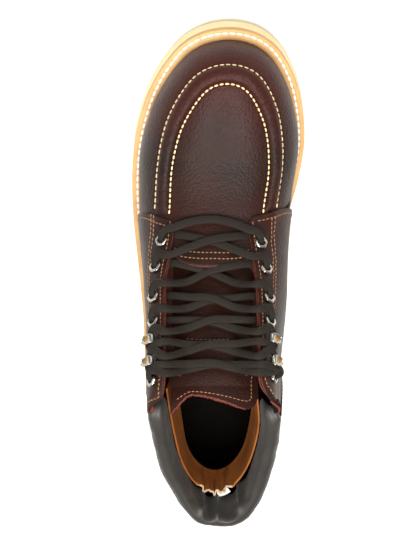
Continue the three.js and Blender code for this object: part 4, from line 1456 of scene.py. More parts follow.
    def top_row(self, start: float, end: float, distance: float) -> list[StitchPoint]:
        """A row on the quarters from turn to turn, a distance below their top edge."""
        return [self.on_flap(turn, self.down_from_top(turn, distance)) for turn in evenly(start, end, 160)]

    def front_row(self, side: int, inset: float) -> list[StitchPoint]:
        """The row behind a flap's front edge."""
        line = []
        for up in evenly(0.12, 0.9, 79):
            turn = side * self.front_turn(side, up, inset)
            line.append(self.on_flap(turn, up * self.flap_top(turn)))
        return line

    def sew(self) -> None:
        """Sews the rows of the toe, the flaps and the heel."""
        cream = Stitches("toe_seam_stitches", CREAM_THREAD, pitch=3.9, length=3.2, width=1.05)
        cream.sew(self.seam_line("outer", -0.012))
        cream.sew(self.seam_line("inner", 0.012), pitch=3.5, length=2.9, width=1.35)
        cream.finish_piece(self.shop, Slot.LEATHER)
        tan = Stitches("flap_stitches", TAN_THREAD, pitch=2.9, length=2.3, width=0.85)
        for back in (3.6, 6.4):
            tan.sew(self.tab_line(back), pitch=2.6, length=2.0)
        for side in (1, -1):
            for distance in (2.6, 15.5, 18.5):
                tan.sew(self.top_row(side * turn_of(0.64), side * turn_of(0.35), distance))
            tan.sew(self.front_row(side, 3.2))
            tan.sew(self.top_row(side * turn_of(0.3), side * 0.01, 3.5))
        reach = turn_of(0.238)
        for below in (0.03, 0.055):
            row = []
            for turn in evenly(-reach, reach, 200):
                v = max(self.counter_level(turn) - below, 0.02)
                row.append(self.on_flap(turn, v, self.flap_wall + 0.2))
            tan.sew(row)
        tan.finish_piece(self.shop, Slot.LEATHER)

    def build(self) -> None:
        """Makes the leather pieces and sews them."""
        parts = (
            ("vamp", self.make_vamp(), ["upper", "seam_roll"], 2.0, 1),
            ("outer_quarter", self.make_quarter(1), ["quarter_outer"], 1.3, 1),
            ("inner_quarter", self.make_quarter(-1), ["quarter_inner"], 1.3, 1),
            ("counter", self.make_counter(), ["heel_counter"], 1.3, 0),
        )
        leather = [LEATHER, RAW_EDGE]
        for name, mesh, nodes, wall, rim in parts:
            self.shop.piece(name, mesh, leather, Slot.LEATHER, nodes, wall=wall, rim=rim, tone=self.tone)
        lining = self.make_lining()
        # The quarter lining takes the near-black finish, which is painted shade for the dark inside of the
        # boot.
        self.shop.piece("quarter_lining", lining, [PAINTED_SHADE_LINING, RAW_EDGE], Slot.LEATHER, wall=2.0, rim=1)
        self.sew()


ANKLE_CREASES = (
    (96, 118, 150, 86, 1.1, 3.2),
    (100, 98, 146, 70, 0.9, 3.0),
    (70, 122, 104, 128, 0.7, 3.0),
    (60, 96, 92, 84, 0.6, 3.4),
    (128, 66, 168, 52, 0.6, 2.6),
)


@dataclass
class Collar:
    """The padded collar, the tan lining below it and the foam that shows at its back."""

    last: Last
    shop: Workshop
    end: float = 0.344
    back_bulge: float = 2.2
    fold_depth: float = 2.6
    fold_width: float = 1.5
    lining_drop: float = 23.0
    lining_tall: float = 28.0
    folds: tuple[float, ...] = (10.6, 0.0, -14.4)
    section: tuple[tuple[float, float], ...] = (
        (0.3, -35.5),
        (1.0, -30.0),
        (1.5, -20.0),
        (1.3, -10.0),
        (0.4, -4.0),
        (-2.0, -0.7),
        (-5.0, 0.3),
        (-7.6, -1.2),
        (-8.8, -4.0),
        (-9.2, -9.0),
        (-9.6, -16.0),
        (-10.0, -24.0),
        (-9.6, -26.5),
        (-9.0, -28.0),
        (-3.5, -31.0),
        (-0.9, -34.5),
    )

    def __post_init__(self) -> None:
        """Starts the store of heights that are measured once."""
        self.levels: dict[float, list[tuple[float, float]]] = {}

    def loop(self, share: float) -> tuple[float, float]:
        """The collar's section from 0 to 1 round it: how far out of the form, and how far above its edge."""
        rows = self.section
        count = len(rows)
        i = int(share * count) % count
        t = share * count - int(share * count)
        a, b, c, d = (rows[(i + k) % count] for k in (-1, 0, 1, 2))
        values = []
        for p0, p1, p2, p3 in zip(a, b, c, d):
            square = (2 * p0 - 5 * p1 + 4 * p2 - p3) * t * t
            values.append(0.5 * (2 * p1 + (p2 - p0) * t + square + (3 * p1 - p0 - 3 * p2 + p3) * t**3))
        return values[0], values[1]

    def level_at(self, turn: float, height: float) -> float:
        """How high up its section the form reaches a height."""
        key = round(turn, 6)
        if key not in self.levels:
            self.levels[key] = [(self.last.point(turn, v).z, v) for v in evenly(0.3, 1, 28)]
        rows = self.levels[key]
        for (z0, v0), (z1, v1) in zip(rows, rows[1:]):
            if z1 >= height:
                return mix(v0, v1, clamp((height - z0) / max(z1 - z0, 1e-6)))
        return 1.0

    def beside(self, turn: float, height: float) -> tuple[Vector, Vector]:
        """The form's point at a height of the shaft, with the level way out of it."""
        level = self.level_at(turn, height)
        point = self.last.point(turn, level)
        way = self.last.normal(turn, level)
        way.z = 0
        point.z = height
        return point, way.normalized()

    def wrinkle(self, point: Vector, out: float) -> float:
        """The folds at the back of the collar and its fine wrinkles."""
        inner = clamp((-3.5 - out) / 4)
        back = 1 - smooth(24, 44, self.last.along(point))
        total = 0.0
        for fold in self.folds:
            away = abs(point.x - fold - 0.8 * noise.noise(Vector((0, 0, point.z / 8))))
            total -= self.fold_depth * hump(away, self.fold_width)
            total += 1.0 * hump(away - 5.2, 2.6)
        return total * inner * back + 0.45 * noise.noise(point / 10) + 0.2 * noise.noise(point / 3.4)

    def place(self, along: float, up: float) -> Vector:
        """A point of the collar's skin."""
        last = self.last
        reach = turn_of(self.end)
        turn = mix(-reach, reach, along)
        _, top_s, top_z, _ = last.top_point(turn)
        out, rise = self.loop(up % 1.0)
        depth = max(top_z - last.collar_seam(top_s), 6) / last.collar_depth
        rise *= mix(depth, 1, clamp((-1 - out) / 8))
        end = clamp((abs(2 * along - 1) - 0.93) / 0.07)
        size = math.sqrt(max(1 - end * end, 0))
        out = mix(-6.0, out, size)
        rise = mix(-9.0, rise, size)
        point, way = self.beside(turn, top_z + rise)
        corner = 3.0 * hump(turn + 0.13, 0.085) - 1.4 * hump(turn - 0.15, 0.09)
        bulge = self.back_bulge * hump(turn, 0.2) + corner + 1.6 * hump(abs(turn) - 0.075, 0.045)
        point += way * (out + bulge * mix(0.3, 1, clamp((rise + 35) / 25)))
        return point + way * self.wrinkle(point, out)

    def make_roll(self) -> Mesh:
        """The padded roll, closed at both ends, darker on its inner side: partly painted shade where the roll
        turns down into the boot, partly a darker leather.
        """

        # The tone here is partly painted shade on the lower inner side of the roll and partly a darker
        # leather there.
        def tint(_: float, up: float) -> float:
            out, rise = self.loop(up % 1.0)
            return 0.2 * clamp((-rise - 12) / 12) * clamp((-3 - out) / 3)

        mesh = grid(320, 64, self.place, tint=tint)
        close(mesh, 0.005)
        return mesh

    def looseness(self, along: float) -> float:
        """How loose the lining's upper edge is: 1 at the back, 0 at the sides."""
        return 1 - smooth(0.2, 0.42, abs(2 * along - 1))

    def lining_point(self, along: float, up: float) -> Vector:
        """A point of the tan lining that shows below the collar inside, wavy along its loose edge."""
        reach = turn_of(0.35)
        turn = mix(-reach, reach, along)
        top_z = self.last.top_point(turn)[2]
        back = self.looseness(along)
        height = top_z - self.lining_drop - (1 - up) * self.lining_tall + 2.2 * back * up
        point, way = self.beside(turn, height)
        run = along * 2 * math.pi
        wave = back * (math.sin(run * 11 + 0.6) + 0.7 * math.sin(run * 19 + 1.0))
        return point - way * (mix(15.6, 10.6 + 1.4 * back, up**0.7) + 1.2 * wave * up)

    def foam_point(self, along: float, up: float) -> Vector:
        """A point of the foam that looks out between the collar and its lining at the back."""
        turn = mix(-0.015, -0.095, along)
        height = self.last.top_point(turn)[2] - self.lining_drop - 0.6 + 0.8 * math.sin(math.pi * along)
        point, way = self.beside(turn, height)
        return point - way * mix(8.6, 12.6 + 0.5 * noise.noise(point / 2), up)

    def build(self) -> None:
        """Makes the collar, the lining with its cream edge and the foam."""
        roll = self.shop.piece("padded_collar", self.make_roll(), [COLLAR_LEATHER], Slot.COLLAR, ["collar"])

        def paint(along: float, up: float) -> int:
            return int(up > 0.95 and abs(along - 0.5) < 0.15)

        lining = sheet(300, 24, self.lining_point, paint=paint)
        self.shop.piece("collar_lining", lining, [LINING, LINING_EDGE], Slot.LEATHER, wall=1.0)
        foam = sheet(40, 6, self.foam_point, lambda centre: centre - Vector((0, 0, 9)))
        self.shop.piece("collar_foam", foam, [FOAM], Slot.COLLAR, wall=1.5)


class Fitting(Enum):
    """What holds the lace at a row."""

    EYELET = "eyelet"
    HOOK = "hook"


class LaceRow(NamedTuple):
    """One row of the lacing."""

    station: float
    fitting: Fitting


ROWS = (
    LaceRow(0.603, Fitting.EYELET),
    LaceRow(0.56, Fitting.EYELET),
    LaceRow(0.52, Fitting.EYELET),
    LaceRow(0.487, Fitting.EYELET),
    LaceRow(0.46, Fitting.HOOK),
    LaceRow(0.428, Fitting.HOOK),
    LaceRow(0.401, Fitting.EYELET),
)


class Strand(NamedTuple):
    """One run of the lace, from a row on one side to a row on the other."""

    side: int
    row: int
    next_row: int
    lift: float


STRANDS = (
    Strand(-1, 0, 1, 0.9),
    Strand(1, 0, 1, 0.0),
    Strand(-1, 1, 2, 0.9),
    Strand(1, 1, 2, 0.0),
    Strand(1, 2, 3, 0.9),
    Strand(-1, 2, 3, 0.0),
    Strand(-1, 3, 4, 0.9),
    Strand(1, 3, 4, 0.0),
    Strand(-1, 4, 5, 0.9),
    Strand(1, 4, 5, 0.0),
    Strand(1, 5, 6, 0.9),
    Strand(-1, 5, 6, 0.0),
)


class Spot(NamedTuple):
    """A fitting's place, with the way out of the leather, to the throat and up the boot."""

    side: int
    row: int
    at: Vector
    out: Vector
    inwards: Vector
    up: Vector


class LacePoint(NamedTuple):
    """A place on a strand, the way that its flat side faces, and its width as a share."""

    at: Vector
    face: Vector
    share: float


TONGUE_EDGE = (
    (-1.0, 7.0),
    (-0.9, 13.0),
    (-0.7, 15.5),
    (-0.3, 12.0),
    (0.0, 9.0),
    (0.4, 6.2),
    (0.6, 6.6),
    (0.8, 12.0),
    (1.0, 18.0),
)

EYELET_PROFILE = (
    (2.6, -3.4),
    (2.6, 0.55),
    (2.85, 0.95),
    (3.4, 1.15),
    (4.1, 1.0),
    (4.6, 0.6),
    (4.7, 0.05),
    (3.6, 0.0),
    (3.6, -3.4),
)


@dataclass
class Throat:
    """Everything that lies over the instep: tongue, gussets, fittings and lace."""

    last: Last
    shop: Workshop
    on_leather: float = 2.6
    under: float = -5.25
    over: float = 5.05
    over_eyelet: float = 4.85
    lace_width: float = 5.4
    lace_height: float = 2.7
    lace_rise: float = 2.5
    rib_pitch: float = 0.86
    rib_depth: float = 0.16
    eyelet_inset: float = 5.8
    hook_inset: float = 5.2
    hook_pass: float = 5.0
    hook_rise: float = 6.0
    hook_reach: float = 6.0
    eyelet_leave: float = 4.6
    eyelet_land: float = 5.4
    hook_leave: float = 1.0
    hook_land: float = 4.6
    bow: float = 3.6
    over_tab: float = 1.9
    under_tab: float = -0.4
    tab_from: float = 170.0
    tab_to: float = 174.0
    rest: float = -4.5
    narrow: float = 0.72
    ease: float = 0.45
    tongue_depth: float = 8.8
    tongue_foot: float = 0.655
    tongue_top: float = 0.403
    tongue_bend: float = 0.8
    tongue_half: float = 36.0
    tongue_head: float = 27.5
    tongue_arch: float = 15.0
    tongue_lean: float = 1.05
    crossing: tuple[float, ...] = (0.02, 0.26, 0.5, 0.76, 0.97)
    bar: tuple[float, ...] = (0.04, 0.2, 0.4, 0.6, 0.8, 0.96)
    bar_reach: float = 13.0
    bar_sink: float = 1.5

    def __post_init__(self) -> None:
        """Makes the form that points are dropped on, and the fittings' places."""
        form = grid(300, 110, lambda along, up: self.last.point(mix(-1, 1, along), up))
        bmesh.ops.remove_doubles(form, verts=form.verts, dist=0.001)
        self.form = BVHTree.FromBMesh(form)
        form.free()
        self.spots = [self.find_spot(side, row) for side in (1, -1) for row in range(len(ROWS))]

    def tongue_edge(self, across: float) -> float:
        """How far the tongue stands up past the last lace, by the place across: an S-shaped edge."""
        return Curve(TONGUE_EDGE)(across)

    def height(self, x: float, s: float) -> float:
        """The height of the form above a place."""
        hit = self.form.ray_cast(self.last.place(x, s, 400), Vector((0, 0, -1)))
        return hit[0].z if hit[0] is not None else 0.0

    def on_form(self, x: float, s: float) -> tuple[Vector, Vector]:
        """The point and the way out above a place."""
        step = 1.2
        slope_x = (self.height(x + step, s) - self.height(x - step, s)) / (2 * step)
        slope_s = (self.height(x, s + step) - self.height(x, s - step)) / (2 * step)
        return self.last.place(x, s, self.height(x, s)), Vector((-slope_x, slope_s, 1)).normalized()

    def find_spot(self, side: int, row: int) -> Spot:
        """Where a fitting sits."""
        last = self.last
        s = ROWS[row].station * last.length
        inset = self.hook_inset if ROWS[row].fitting is Fitting.HOOK else self.eyelet_inset
        at, out = self.on_form(last.throat_edge(side, s) + side * inset, s)
        ahead, _ = self.on_form(last.throat_edge(side, s - 4) + side * inset, s - 4)
        up = (ahead - at).normalized()
        inwards = up.cross(out).normalized()
        if inwards.x * side > 0:
            inwards = -inwards
        square = out.cross(inwards).normalized()
        if square.z < 0:
            square = -square
        return Spot(side, row, at, out, inwards, square)

    def spot(self, side: int, row: int) -> Spot:
        """The fitting of a side and a row."""
        return next(spot for spot in self.spots if spot.side == side and spot.row == row)

    def stand(self, mesh: Mesh, spot: Spot, rise: float) -> None:
        """Puts a shape, made with z out of the leather and x towards the throat, on its place."""
        cross = spot.out.cross(spot.inwards)
        basis = Matrix((spot.inwards, cross, spot.out)).transposed().to_4x4()
        place = Matrix.Translation(spot.at + spot.out * rise) @ basis
        bmesh.ops.transform(mesh, matrix=place, verts=mesh.verts)

    def make_eyelet(self, spot: Spot) -> Mesh:
        """A six-sided eyelet: a domed flange and a barrel through the leather."""
        mesh = bmesh.new()
        verts = [mesh.verts.new((r, 0, z)) for r, z in EYELET_PROFILE]
        edges = [mesh.edges.new(pair) for pair in zip(verts, verts[1:] + verts[:1])]
        whole = {"cent": (0, 0, 0), "axis": (0, 0, 1), "angle": 2 * math.pi}
        bmesh.ops.spin(mesh, geom=verts + edges, steps=6, use_merge=True, **whole)
        bmesh.ops.remove_doubles(mesh, verts=mesh.verts, dist=0.01)

        def is_corner(edge: bmesh.types.BMEdge) -> bool:
            start, end = (math.atan2(vert.co.y, vert.co.x) for vert in edge.verts)
            return abs(start - end) < 0.01

        corners = [edge for edge in mesh.edges if is_corner(edge)]
        shape = {"offset": 0.7, "offset_type": "OFFSET", "segments": 3, "profile": 0.5, "material": -1}
        bmesh.ops.bevel(mesh, geom=corners, affect="EDGES", **shape)
        bmesh.ops.recalc_face_normals(mesh, faces=mesh.faces)
        self.stand(mesh, spot, self.on_leather)
        return mesh

    def make_hook(self, spot: Spot) -> Mesh:
        """A speed hook: a plate bent up from the leather and back over, open to the outside."""
        half, rise = self.hook_reach / 2, self.hook_rise

        def place(along: float, up: float) -> Vector:
            if along < 0.3:
                x, z, wide = mix(-half, half - 1, along / 0.3), 0.9, 2.3
            elif along < 0.6:
                angle = mix(-math.pi / 2, math.pi / 2, (along - 0.3) / 0.3)
                x = half - 1 + (rise / 2 - 0.9) * math.cos(angle)
                z = rise / 2 + (rise / 2 - 0.9) * math.sin(angle)
                wide = mix(2.3, 3.2, (along - 0.3) / 0.3)
            else:
                share = (along - 0.6) / 0.4
                x = mix(half - 1, -half - 0.6, share)
                z = rise - 0.9 + 0.9 * share**2
                wide = 3.2 * math.sqrt(max(1 - (share * 0.96) ** 3, 0.02))
            y = wide * (2 * up - 1)
            curl = 0.7 * abs(2 * up - 1) ** 3 if along > 0.45 else 0.0
            return Vector((x, y, z + curl))

        def paint(along: float, up: float) -> int:
            return 1 if ((along - 0.78) / 0.15) ** 2 + ((up - 0.5) / 0.33) ** 2 < 1 else 0

        mesh = grid(48, 16, place, paint=paint)
        bmesh.ops.recalc_face_normals(mesh, faces=mesh.faces)
        upwards = sum(face.normal.z for face in mesh.faces if face.calc_center_median().z > rise * 0.7)
        if upwards < 0:
            bmesh.ops.reverse_faces(mesh, faces=mesh.faces)
        self.stand(mesh, spot, self.on_leather)
        return mesh

    def fit(self) -> None:
        """Makes the eyelets and the hooks, each in its node's place."""
        for spot in self.spots:
            kind = ROWS[spot.row].fitting
            word = "outer" if spot.side > 0 else "inner"
            node = f"{kind.value}_{word}_{spot.row + 1}"
            name = f"{word}_{kind.value}_{spot.row + 1}"
            if kind is Fitting.EYELET:
                self.shop.piece(name, self.make_eyelet(spot), [NICKEL], Slot.NICKEL, [node])
            else:
                hook = self.make_hook(spot)
                self.shop.piece(name, hook, [NICKEL, BRASS], Slot.NICKEL, [node], wall=0.8, lining=1)

    def near(
        self, spot: Spot, move: tuple[float, float, float], face: Vector, share: float = 1.0
    ) -> LacePoint:
        """A place near a fitting.

        Args:
            spot: the fitting.
            move: how far the place lies towards the throat, up the boot and out of the leather.
            face: the way that the lace's flat side faces.
            share: the lace's width as a share.

        Returns:
            The place.
        """
        inwards, up, rise = move
        at = spot.at + spot.inwards * inwards + spot.up * up + spot.out * rise
        return LacePoint(at, face.normalized(), share)

    def leave(self, spot: Spot) -> list[LacePoint]:
        """The start of a strand: out of an eyelet from below, or from behind a hook."""
        if ROWS[spot.row].fitting is Fitting.HOOK:
            rise = self.on_leather + self.hook_rise / 2
            return [
                self.near(spot, (-1.6, 0, rise), spot.out, self.narrow),
                self.near(spot, (0, self.hook_pass, rise), spot.out, self.narrow),
                self.near(spot, (3.5, self.hook_pass - 1, self.over), spot.out),
            ]
        return [
            self.near(spot, (0, 0, 0.5), spot.inwards, self.narrow),
            self.near(spot, (0.4, -0.4, self.under + 1.4), spot.inwards + spot.out, self.narrow),
            self.near(spot, (3.4, -1.6, self.under), spot.out),
        ]

    def arrive(self, spot: Spot) -> list[LacePoint]:
        """The end of a strand: down from the toe's side into an eyelet, or round behind a hook."""
        if ROWS[spot.row].fitting is Fitting.HOOK:
            rise = self.on_leather + self.hook_rise / 2
            return [
                self.near(spot, (3.4, -self.hook_pass - 2.6, self.over + 0.3), spot.out),
                self.near(spot, (0.4, -self.hook_pass + 0.6, rise), spot.out, self.narrow),
                self.near(spot, (-1.6, 0, rise), spot.out, self.narrow),
            ]
        return [
            self.near(spot, (4.0, -6.2, self.over + 0.3), spot.out),
            self.near(spot, (1.6, -3.0, self.over_eyelet + 0.6), spot.out, 0.9),
            self.near(spot, (0.3, -0.6, self.over_eyelet - 1.0), spot.out + spot.up, self.narrow),
            self.near(spot, (0, 0, 0), spot.up, self.narrow),
        ]

    def off_flap(self, x: float, s: float, rise: float) -> LacePoint:
        """A place above the form, with the lace lying flat on it."""
        at, out = self.on_form(x, s)
        return LacePoint(at + out * rise, out, 1)

    def cross(self, start: Spot, end: Spot, lift: float) -> list[LacePoint]:
        """The middle of a strand, over the tongue from one flap to the other, bowed towards the toe."""
        last = self.last
        hooked = ROWS[start.row].fitting is Fitting.HOOK
        to_hook = ROWS[end.row].fitting is Fitting.HOOK
        s0 = ROWS[start.row].station * last.length + (self.hook_leave if hooked else self.eyelet_leave)
        s1 = ROWS[end.row].station * last.length + (self.hook_land if to_hook else self.eyelet_land)
        from_edge, to_edge = last.throat_edge(start.side, s0), last.throat_edge(end.side, s1)
        final = len(self.crossing) - 1
        points = []
        for i, t in enumerate(self.crossing):
            ends = i == final or (hooked and i == 0)
            s = max(mix(s0, s1, t) + self.bow * math.sin(math.pi * t), self.tongue_top * last.length)
            tab = self.under_tab if i == 0 else self.over_tab
            rise = self.over if ends else mix(self.under, tab, smooth(self.tab_from, self.tab_to, s))
            ease = self.ease if i == final - 1 or (hooked and i == 1) else 0
            over = lift * self.lace_rise * math.sin(math.pi * t) ** 2
            x = mix(from_edge, to_edge, t)
            flat = self.off_flap(x, s, mix(rise, self.over, ease) + over)
            if 0 < i < final:
                sag = 0.5 if hooked or t > 0.5 else 5.5
                taut = self.over_ridge(x, s, self.rest + over - sag * (2 * t - 1) ** 2)
                at = taut.at.lerp(flat.at, smooth(self.tab_from - 2, self.tab_to, s))
                flat = LacePoint(at, flat.face.lerp(taut.face, 0.5), 1)
            points.append(flat)
        return points

    def over_ridge(self, x: float, s: float, rise: float) -> LacePoint:
        """A place above the straight line across the ridge."""
        at, out = self.last.on_ridge(x, s)
        return LacePoint(at + out * rise, out, 1)

    def sweep(self, points: Sequence[LacePoint]) -> Mesh:
        """A flat ribbed lace through the points.

        Args:
            points: the strand's places in order.

        Returns:
            The strand, closed at both ends, with its UV map in millimetres.
        """
        knots = [0.0]
        for a, b in zip(points, points[1:]):
            knots.append(knots[-1] + math.sqrt((b.at - a.at).length))
        total = sum((b.at - a.at).length for a, b in zip(points, points[1:]))
        rows = max(int(total / 1.1), 12)
        sides = 56
        rings = []
        for j in range(rows + 1):
            t = mix(knots[0], knots[-1], j / rows)
            i = 0
            while i < len(knots) - 2 and knots[i + 1] < t:
                i += 1
            rings.append(self.between(points, knots, i, t))
        frames = []
        for j, (at, face, share) in enumerate(rings):
            ahead = (rings[min(j + 1, rows)][0] - rings[max(j - 1, 0)][0]).normalized()
            wide = ahead.cross(face).normalized()
            frames.append((at, wide, wide.cross(ahead), share))

        def place(along: float, up: float) -> Vector:
            at, wide, high, share = frames[round(along * rows)]
            angle = 2 * math.pi * up
            c, s = math.cos(angle), math.sin(angle)
            x = math.copysign(abs(c) ** 0.8, c) * self.lace_width / 2
            rib = self.rib_depth * math.cos(2 * math.pi * x / self.rib_pitch) * abs(s)
            x *= share
            y = math.copysign(abs(s) ** 0.8, s) * (self.lace_height / 2 + rib)
            end = 0.6 if along in (0.0, 1.0) else 1.0
            return at + wide * x * end + high * y * end

        mesh = grid(rows, sides, place, (total, 14.0))
        close(mesh, 0.002)
        return mesh

    def between(
        self, points: Sequence[LacePoint], knots: Sequence[float], i: int, t: float
    ) -> tuple[Vector, Vector, float]:
        """A point of the smooth curve between two of a strand's places."""
        last = len(points) - 1
        k = [max(i - 1, 0), i, min(i + 1, last), min(i + 2, last)]
        p = [points[n].at for n in k]
        u = [knots[n] for n in k]
        if k[0] == k[1]:
            p[0] = p[1] * 2 - p[2]
            u[0] = 2 * u[1] - u[2]
        if k[3] == k[2]:
            p[3] = p[2] * 2 - p[1]
            u[3] = 2 * u[2] - u[1]
        a1 = p[0].lerp(p[1], (t - u[0]) / (u[1] - u[0]))
        a2 = p[1].lerp(p[2], (t - u[1]) / (u[2] - u[1]))
        a3 = p[2].lerp(p[3], (t - u[2]) / (u[3] - u[2]))
        b1 = a1.lerp(a2, (t - u[0]) / (u[2] - u[0]))
        b2 = a2.lerp(a3, (t - u[1]) / (u[3] - u[1]))
        share = clamp((t - u[1]) / (u[2] - u[1]))
        soft = smooth(0, 1, share)
        first, second = points[k[1]].face, points[k[2]].face
        width = mix(points[k[1]].share, points[k[2]].share, soft)
        return b1.lerp(b2, share), first.lerp(second, soft), width

    def lace(self) -> None:
        """Makes the lace: the bar in front and the crossings up to the top eyelets."""
        last = self.last
        whole = bmesh.new()
        s = ROWS[0].station * last.length
        right, left = self.spot(1, 0), self.spot(-1, 0)
        from_edge, to_edge = last.throat_edge(1, s), last.throat_edge(-1, s)
        middle = []
        for t in self.bar:
            rise = self.over - self.bar_sink * math.sin(math.pi * t)
            ahead = mix(self.eyelet_land, self.bar_reach, math.sin(math.pi * t) ** 0.8)
            middle.append(self.off_flap(mix(from_edge, to_edge, t), s + ahead, rise))
        runs = [[*reversed(self.arrive(right)), *middle, *self.arrive(left)]]
        for strand in STRANDS:
            start, end = self.spot(strand.side, strand.row), self.spot(-strand.side, strand.next_row)
            runs.append([*self.leave(start), *self.cross(start, end, strand.lift), *self.arrive(end)])
        for run in runs:
            gather(whole, self.sweep(run))
        self.shop.piece("woven_lace", whole, [BRAID], Slot.BRAID, ["lace"])

    def tongue_point(self, across: float, up: float) -> Vector:
        """A point of the tongue's outer face: across from -1 to 1, up from its foot, 0, to its edge, 1."""
        last = self.last
        foot, top = self.tongue_foot * last.length, self.tongue_top * last.length
        run = up / self.tongue_bend
        s = max(mix(foot, top, run), top)
        x = across * mix(self.tongue_half, self.tongue_head, smooth(0.5, 0.78, up))
        ridge, out = last.on_ridge(last.ball_width * last.spine(s / last.length), s)
        drop = self.tongue_depth + self.tongue_arch * (abs(x) / self.tongue_half) ** 3
        point = ridge + Vector((x, 0, 0)) - out * drop
        if run > 1:
            beyond = (run - 1) / (1 / self.tongue_bend - 1) * self.tongue_edge(across)
            point += Vector((0, math.cos(self.tongue_lean), math.sin(self.tongue_lean))) * beyond
            point += out * 0.03 * beyond * beyond * (0.3 - abs(across))
        pad = 0.8 * hump(across - 0.1, 0.5) * smooth(0.6, 0.75, up)
        return point + out * (0.5 * noise.noise(point / 16) + pad)

    def make_tongue(self) -> Mesh:
        """The tongue in one sheet with a frayed top edge."""

        def place(along: float, up: float) -> Vector:
            across = 2 * along - 1
            point = self.tongue_point(across, up)
            if up > 0.99:
                fray = noise.noise(Vector((across * 34, 3, 1)))
                fray += 0.6 * noise.noise(Vector((across * 90, 8, 2)))
                point += Vector((0, 0.5, 0.6)) * fray * 0.9
            return point

        return sheet(110, 130, place, under_instep)

    def tongue_rows(self) -> None:
        """Sews the tongue's pad."""
        thread = Stitches("tongue_stitches", TAN_THREAD, pitch=2.6, length=2.1, width=0.7)
        edge = []
        for share in evenly(0, 1, 159):
            if share < 0.35:
                across, up = -0.84, mix(0.52, 0.9, share / 0.35)
            elif share < 0.45:
                angle = (share - 0.35) / 0.1 * math.pi / 2
                across, up = -0.84 + 0.12 * (1 - math.cos(angle)), 0.9 + 0.03 * math.sin(angle)
            else:
                across, up = mix(-0.72, 0.86, (share - 0.45) / 0.55), 0.93
            edge.append(self.tongue_stitch(across, up))
        thread.sew(edge)
        thread.sew([self.tongue_stitch(x, 0.56 - 0.03 * x * x) for x in evenly(-0.3, 0.5, 59)])
        thread.finish_piece(self.shop, Slot.LEATHER)

    def tongue_stitch(self, across: float, up: float) -> StitchPoint:
        """A place on the tongue for a stitch."""
        at = self.tongue_point(across, up)
        over = self.tongue_point(min(across + 0.02, 1), up) - self.tongue_point(across - 0.02, up)
        ahead = self.tongue_point(across, min(up + 0.01, 1)) - self.tongue_point(across, up - 0.01)
        out = over.cross(ahead).normalized()
        if out.z < 0:
            out = -out
        return StitchPoint(at, out)

    def make_gusset(self, side: int) -> Mesh:
        """The soft leather that joins the tongue's edge to the flap."""
        last = self.last

        def place(along: float, up: float) -> Vector:
            s = mix(0.64, 0.425, along) * last.length
            at, out = self.on_form(last.throat_edge(side, s) + side * 3, s)
            down = (self.tongue_foot - s / last.length) / (self.tongue_foot - self.tongue_top)
            inner = self.tongue_point(side * 0.72, down * self.tongue_bend) - out * 1.2
            wave = 0.8 * math.sin(along * 19) * math.sin(math.pi * up)
            return inner.lerp(at - out * 3.2, up) - out * wave

        return sheet(60, 14, place, under_instep)

    def build(self) -> None:
        """Makes the tongue, its gussets, the fittings and the lace."""
        tongue = self.make_tongue()
        leather = [LEATHER, RAW_EDGE]
        self.shop.piece(
            "soft_tongue", tongue, leather, Slot.LEATHER, ["tongue"], wall=2.2, rim=1, tone=lambda point: 0.25
        )
        self.tongue_rows()
        for side, name in ((1, "outer_gusset"), (-1, "inner_gusset")):
            self.shop.piece(name, self.make_gusset(side), [GUSSET], Slot.LEATHER, wall=0.8)
        self.fit()
        self.lace()

class Softbox(NamedTuple):
    """A soft square light that looks at the boot."""

    name: str
    place: tuple[float, float, float]
    size: float
    power: float
    colour: str


SOFTBOXES = (
    Softbox("overhead_softbox", (0.02, -0.1, 1.6), 0.8, 46, "ffffff"),
    Softbox("toe_softbox", (-0.6, -1.3, 1.0), 0.9, 8, "fffaf2"),
    Softbox("side_softbox", (1.3, 0.3, 0.8), 0.7, 7, "f4f8ff"),
)


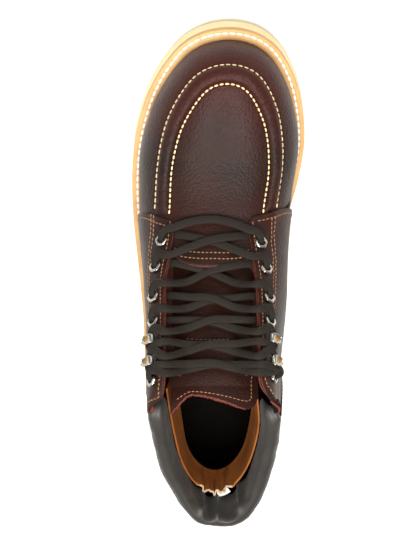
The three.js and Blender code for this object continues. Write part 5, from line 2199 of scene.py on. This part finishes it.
@dataclass
class Studio:
    """A pale floor, soft light and the photograph's camera: over the toe, with the toe up in the picture."""

    tilt: float = 23.5
    distance: float = 2.2
    lens: float = 214.29
    aim: tuple[float, float, float] = (0.0067, 0.0349, 0.0)
    floor_size: float = 8.0
    boot_middle: float = 0.06
    daylight: str = "f7f7f5"
    daylight_strength: float = 0.42

    def light(self, box: Softbox) -> None:
        """Hangs a softbox."""
        data = bpy.data.lights.new(box.name, "AREA")
        data.energy = box.power
        data.size = box.size
        data.color = linear(box.colour)[:3]
        lamp = bpy.data.objects.new(box.name, data)
        lamp.location = box.place
        lamp.rotation_mode = "QUATERNION"
        way = Vector((0, 0, self.boot_middle)) - Vector(box.place)
        lamp.rotation_quaternion = way.to_track_quat("-Z", "Y")
        bpy.context.scene.collection.objects.link(lamp)

    def build(self, shop: Workshop) -> None:
        """Makes the floor, the lights, the world and the camera."""
        mesh = bmesh.new()
        bmesh.ops.create_grid(mesh, x_segments=8, y_segments=8, size=self.floor_size / 2)
        data = bpy.data.meshes.new("studio_floor")
        mesh.to_mesh(data)
        mesh.free()
        floor = bpy.data.objects.new("studio_floor", data)
        data.materials.append(shop.finish(FLOOR))
        bpy.context.scene.collection.objects.link(floor)
        for box in SOFTBOXES:
            self.light(box)
        world = bpy.data.worlds.new("pale_studio")
        world.use_nodes = True
        background = {"Color": linear(self.daylight), "Strength": self.daylight_strength}
        connect(world.node_tree, world.node_tree.nodes["Background"], background)
        bpy.context.scene.world = world
        bpy.context.scene.view_settings.view_transform = "Standard"
        self.camera()

    def camera(self) -> None:
        """The camera on the toe's side of straight above."""
        data = bpy.data.cameras.new("photo_camera")
        data.lens = self.lens
        data.sensor_width = 36
        data.clip_end = 50
        camera = bpy.data.objects.new("photo_camera", data)
        tilt = math.radians(self.tilt)
        eye = Vector((0, -self.distance * math.sin(tilt), self.distance * math.cos(tilt)))
        back = (eye - Vector(self.aim)).normalized()
        right = Vector((0, -1, 0)).cross(back).normalized()
        up = back.cross(right)
        turn = Matrix((right, up, back)).transposed().to_4x4()
        camera.matrix_world = Matrix.Translation(eye) @ turn
        bpy.context.scene.collection.objects.link(camera)
        bpy.context.scene.camera = camera


def main() -> None:
    """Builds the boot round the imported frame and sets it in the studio."""
    logging.basicConfig(level=logging.INFO, format="%(name)s %(message)s")
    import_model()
    low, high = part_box("outsole")
    last = Last(length=(high.y - low.y) / MM)
    shop = Workshop()
    Studio().build(shop)
    Sole(last, shop).build()
    Upper(last, shop).build()
    Collar(last, shop).build()
    Throat(last, shop).build()


if __name__ == "__main__":
    main()
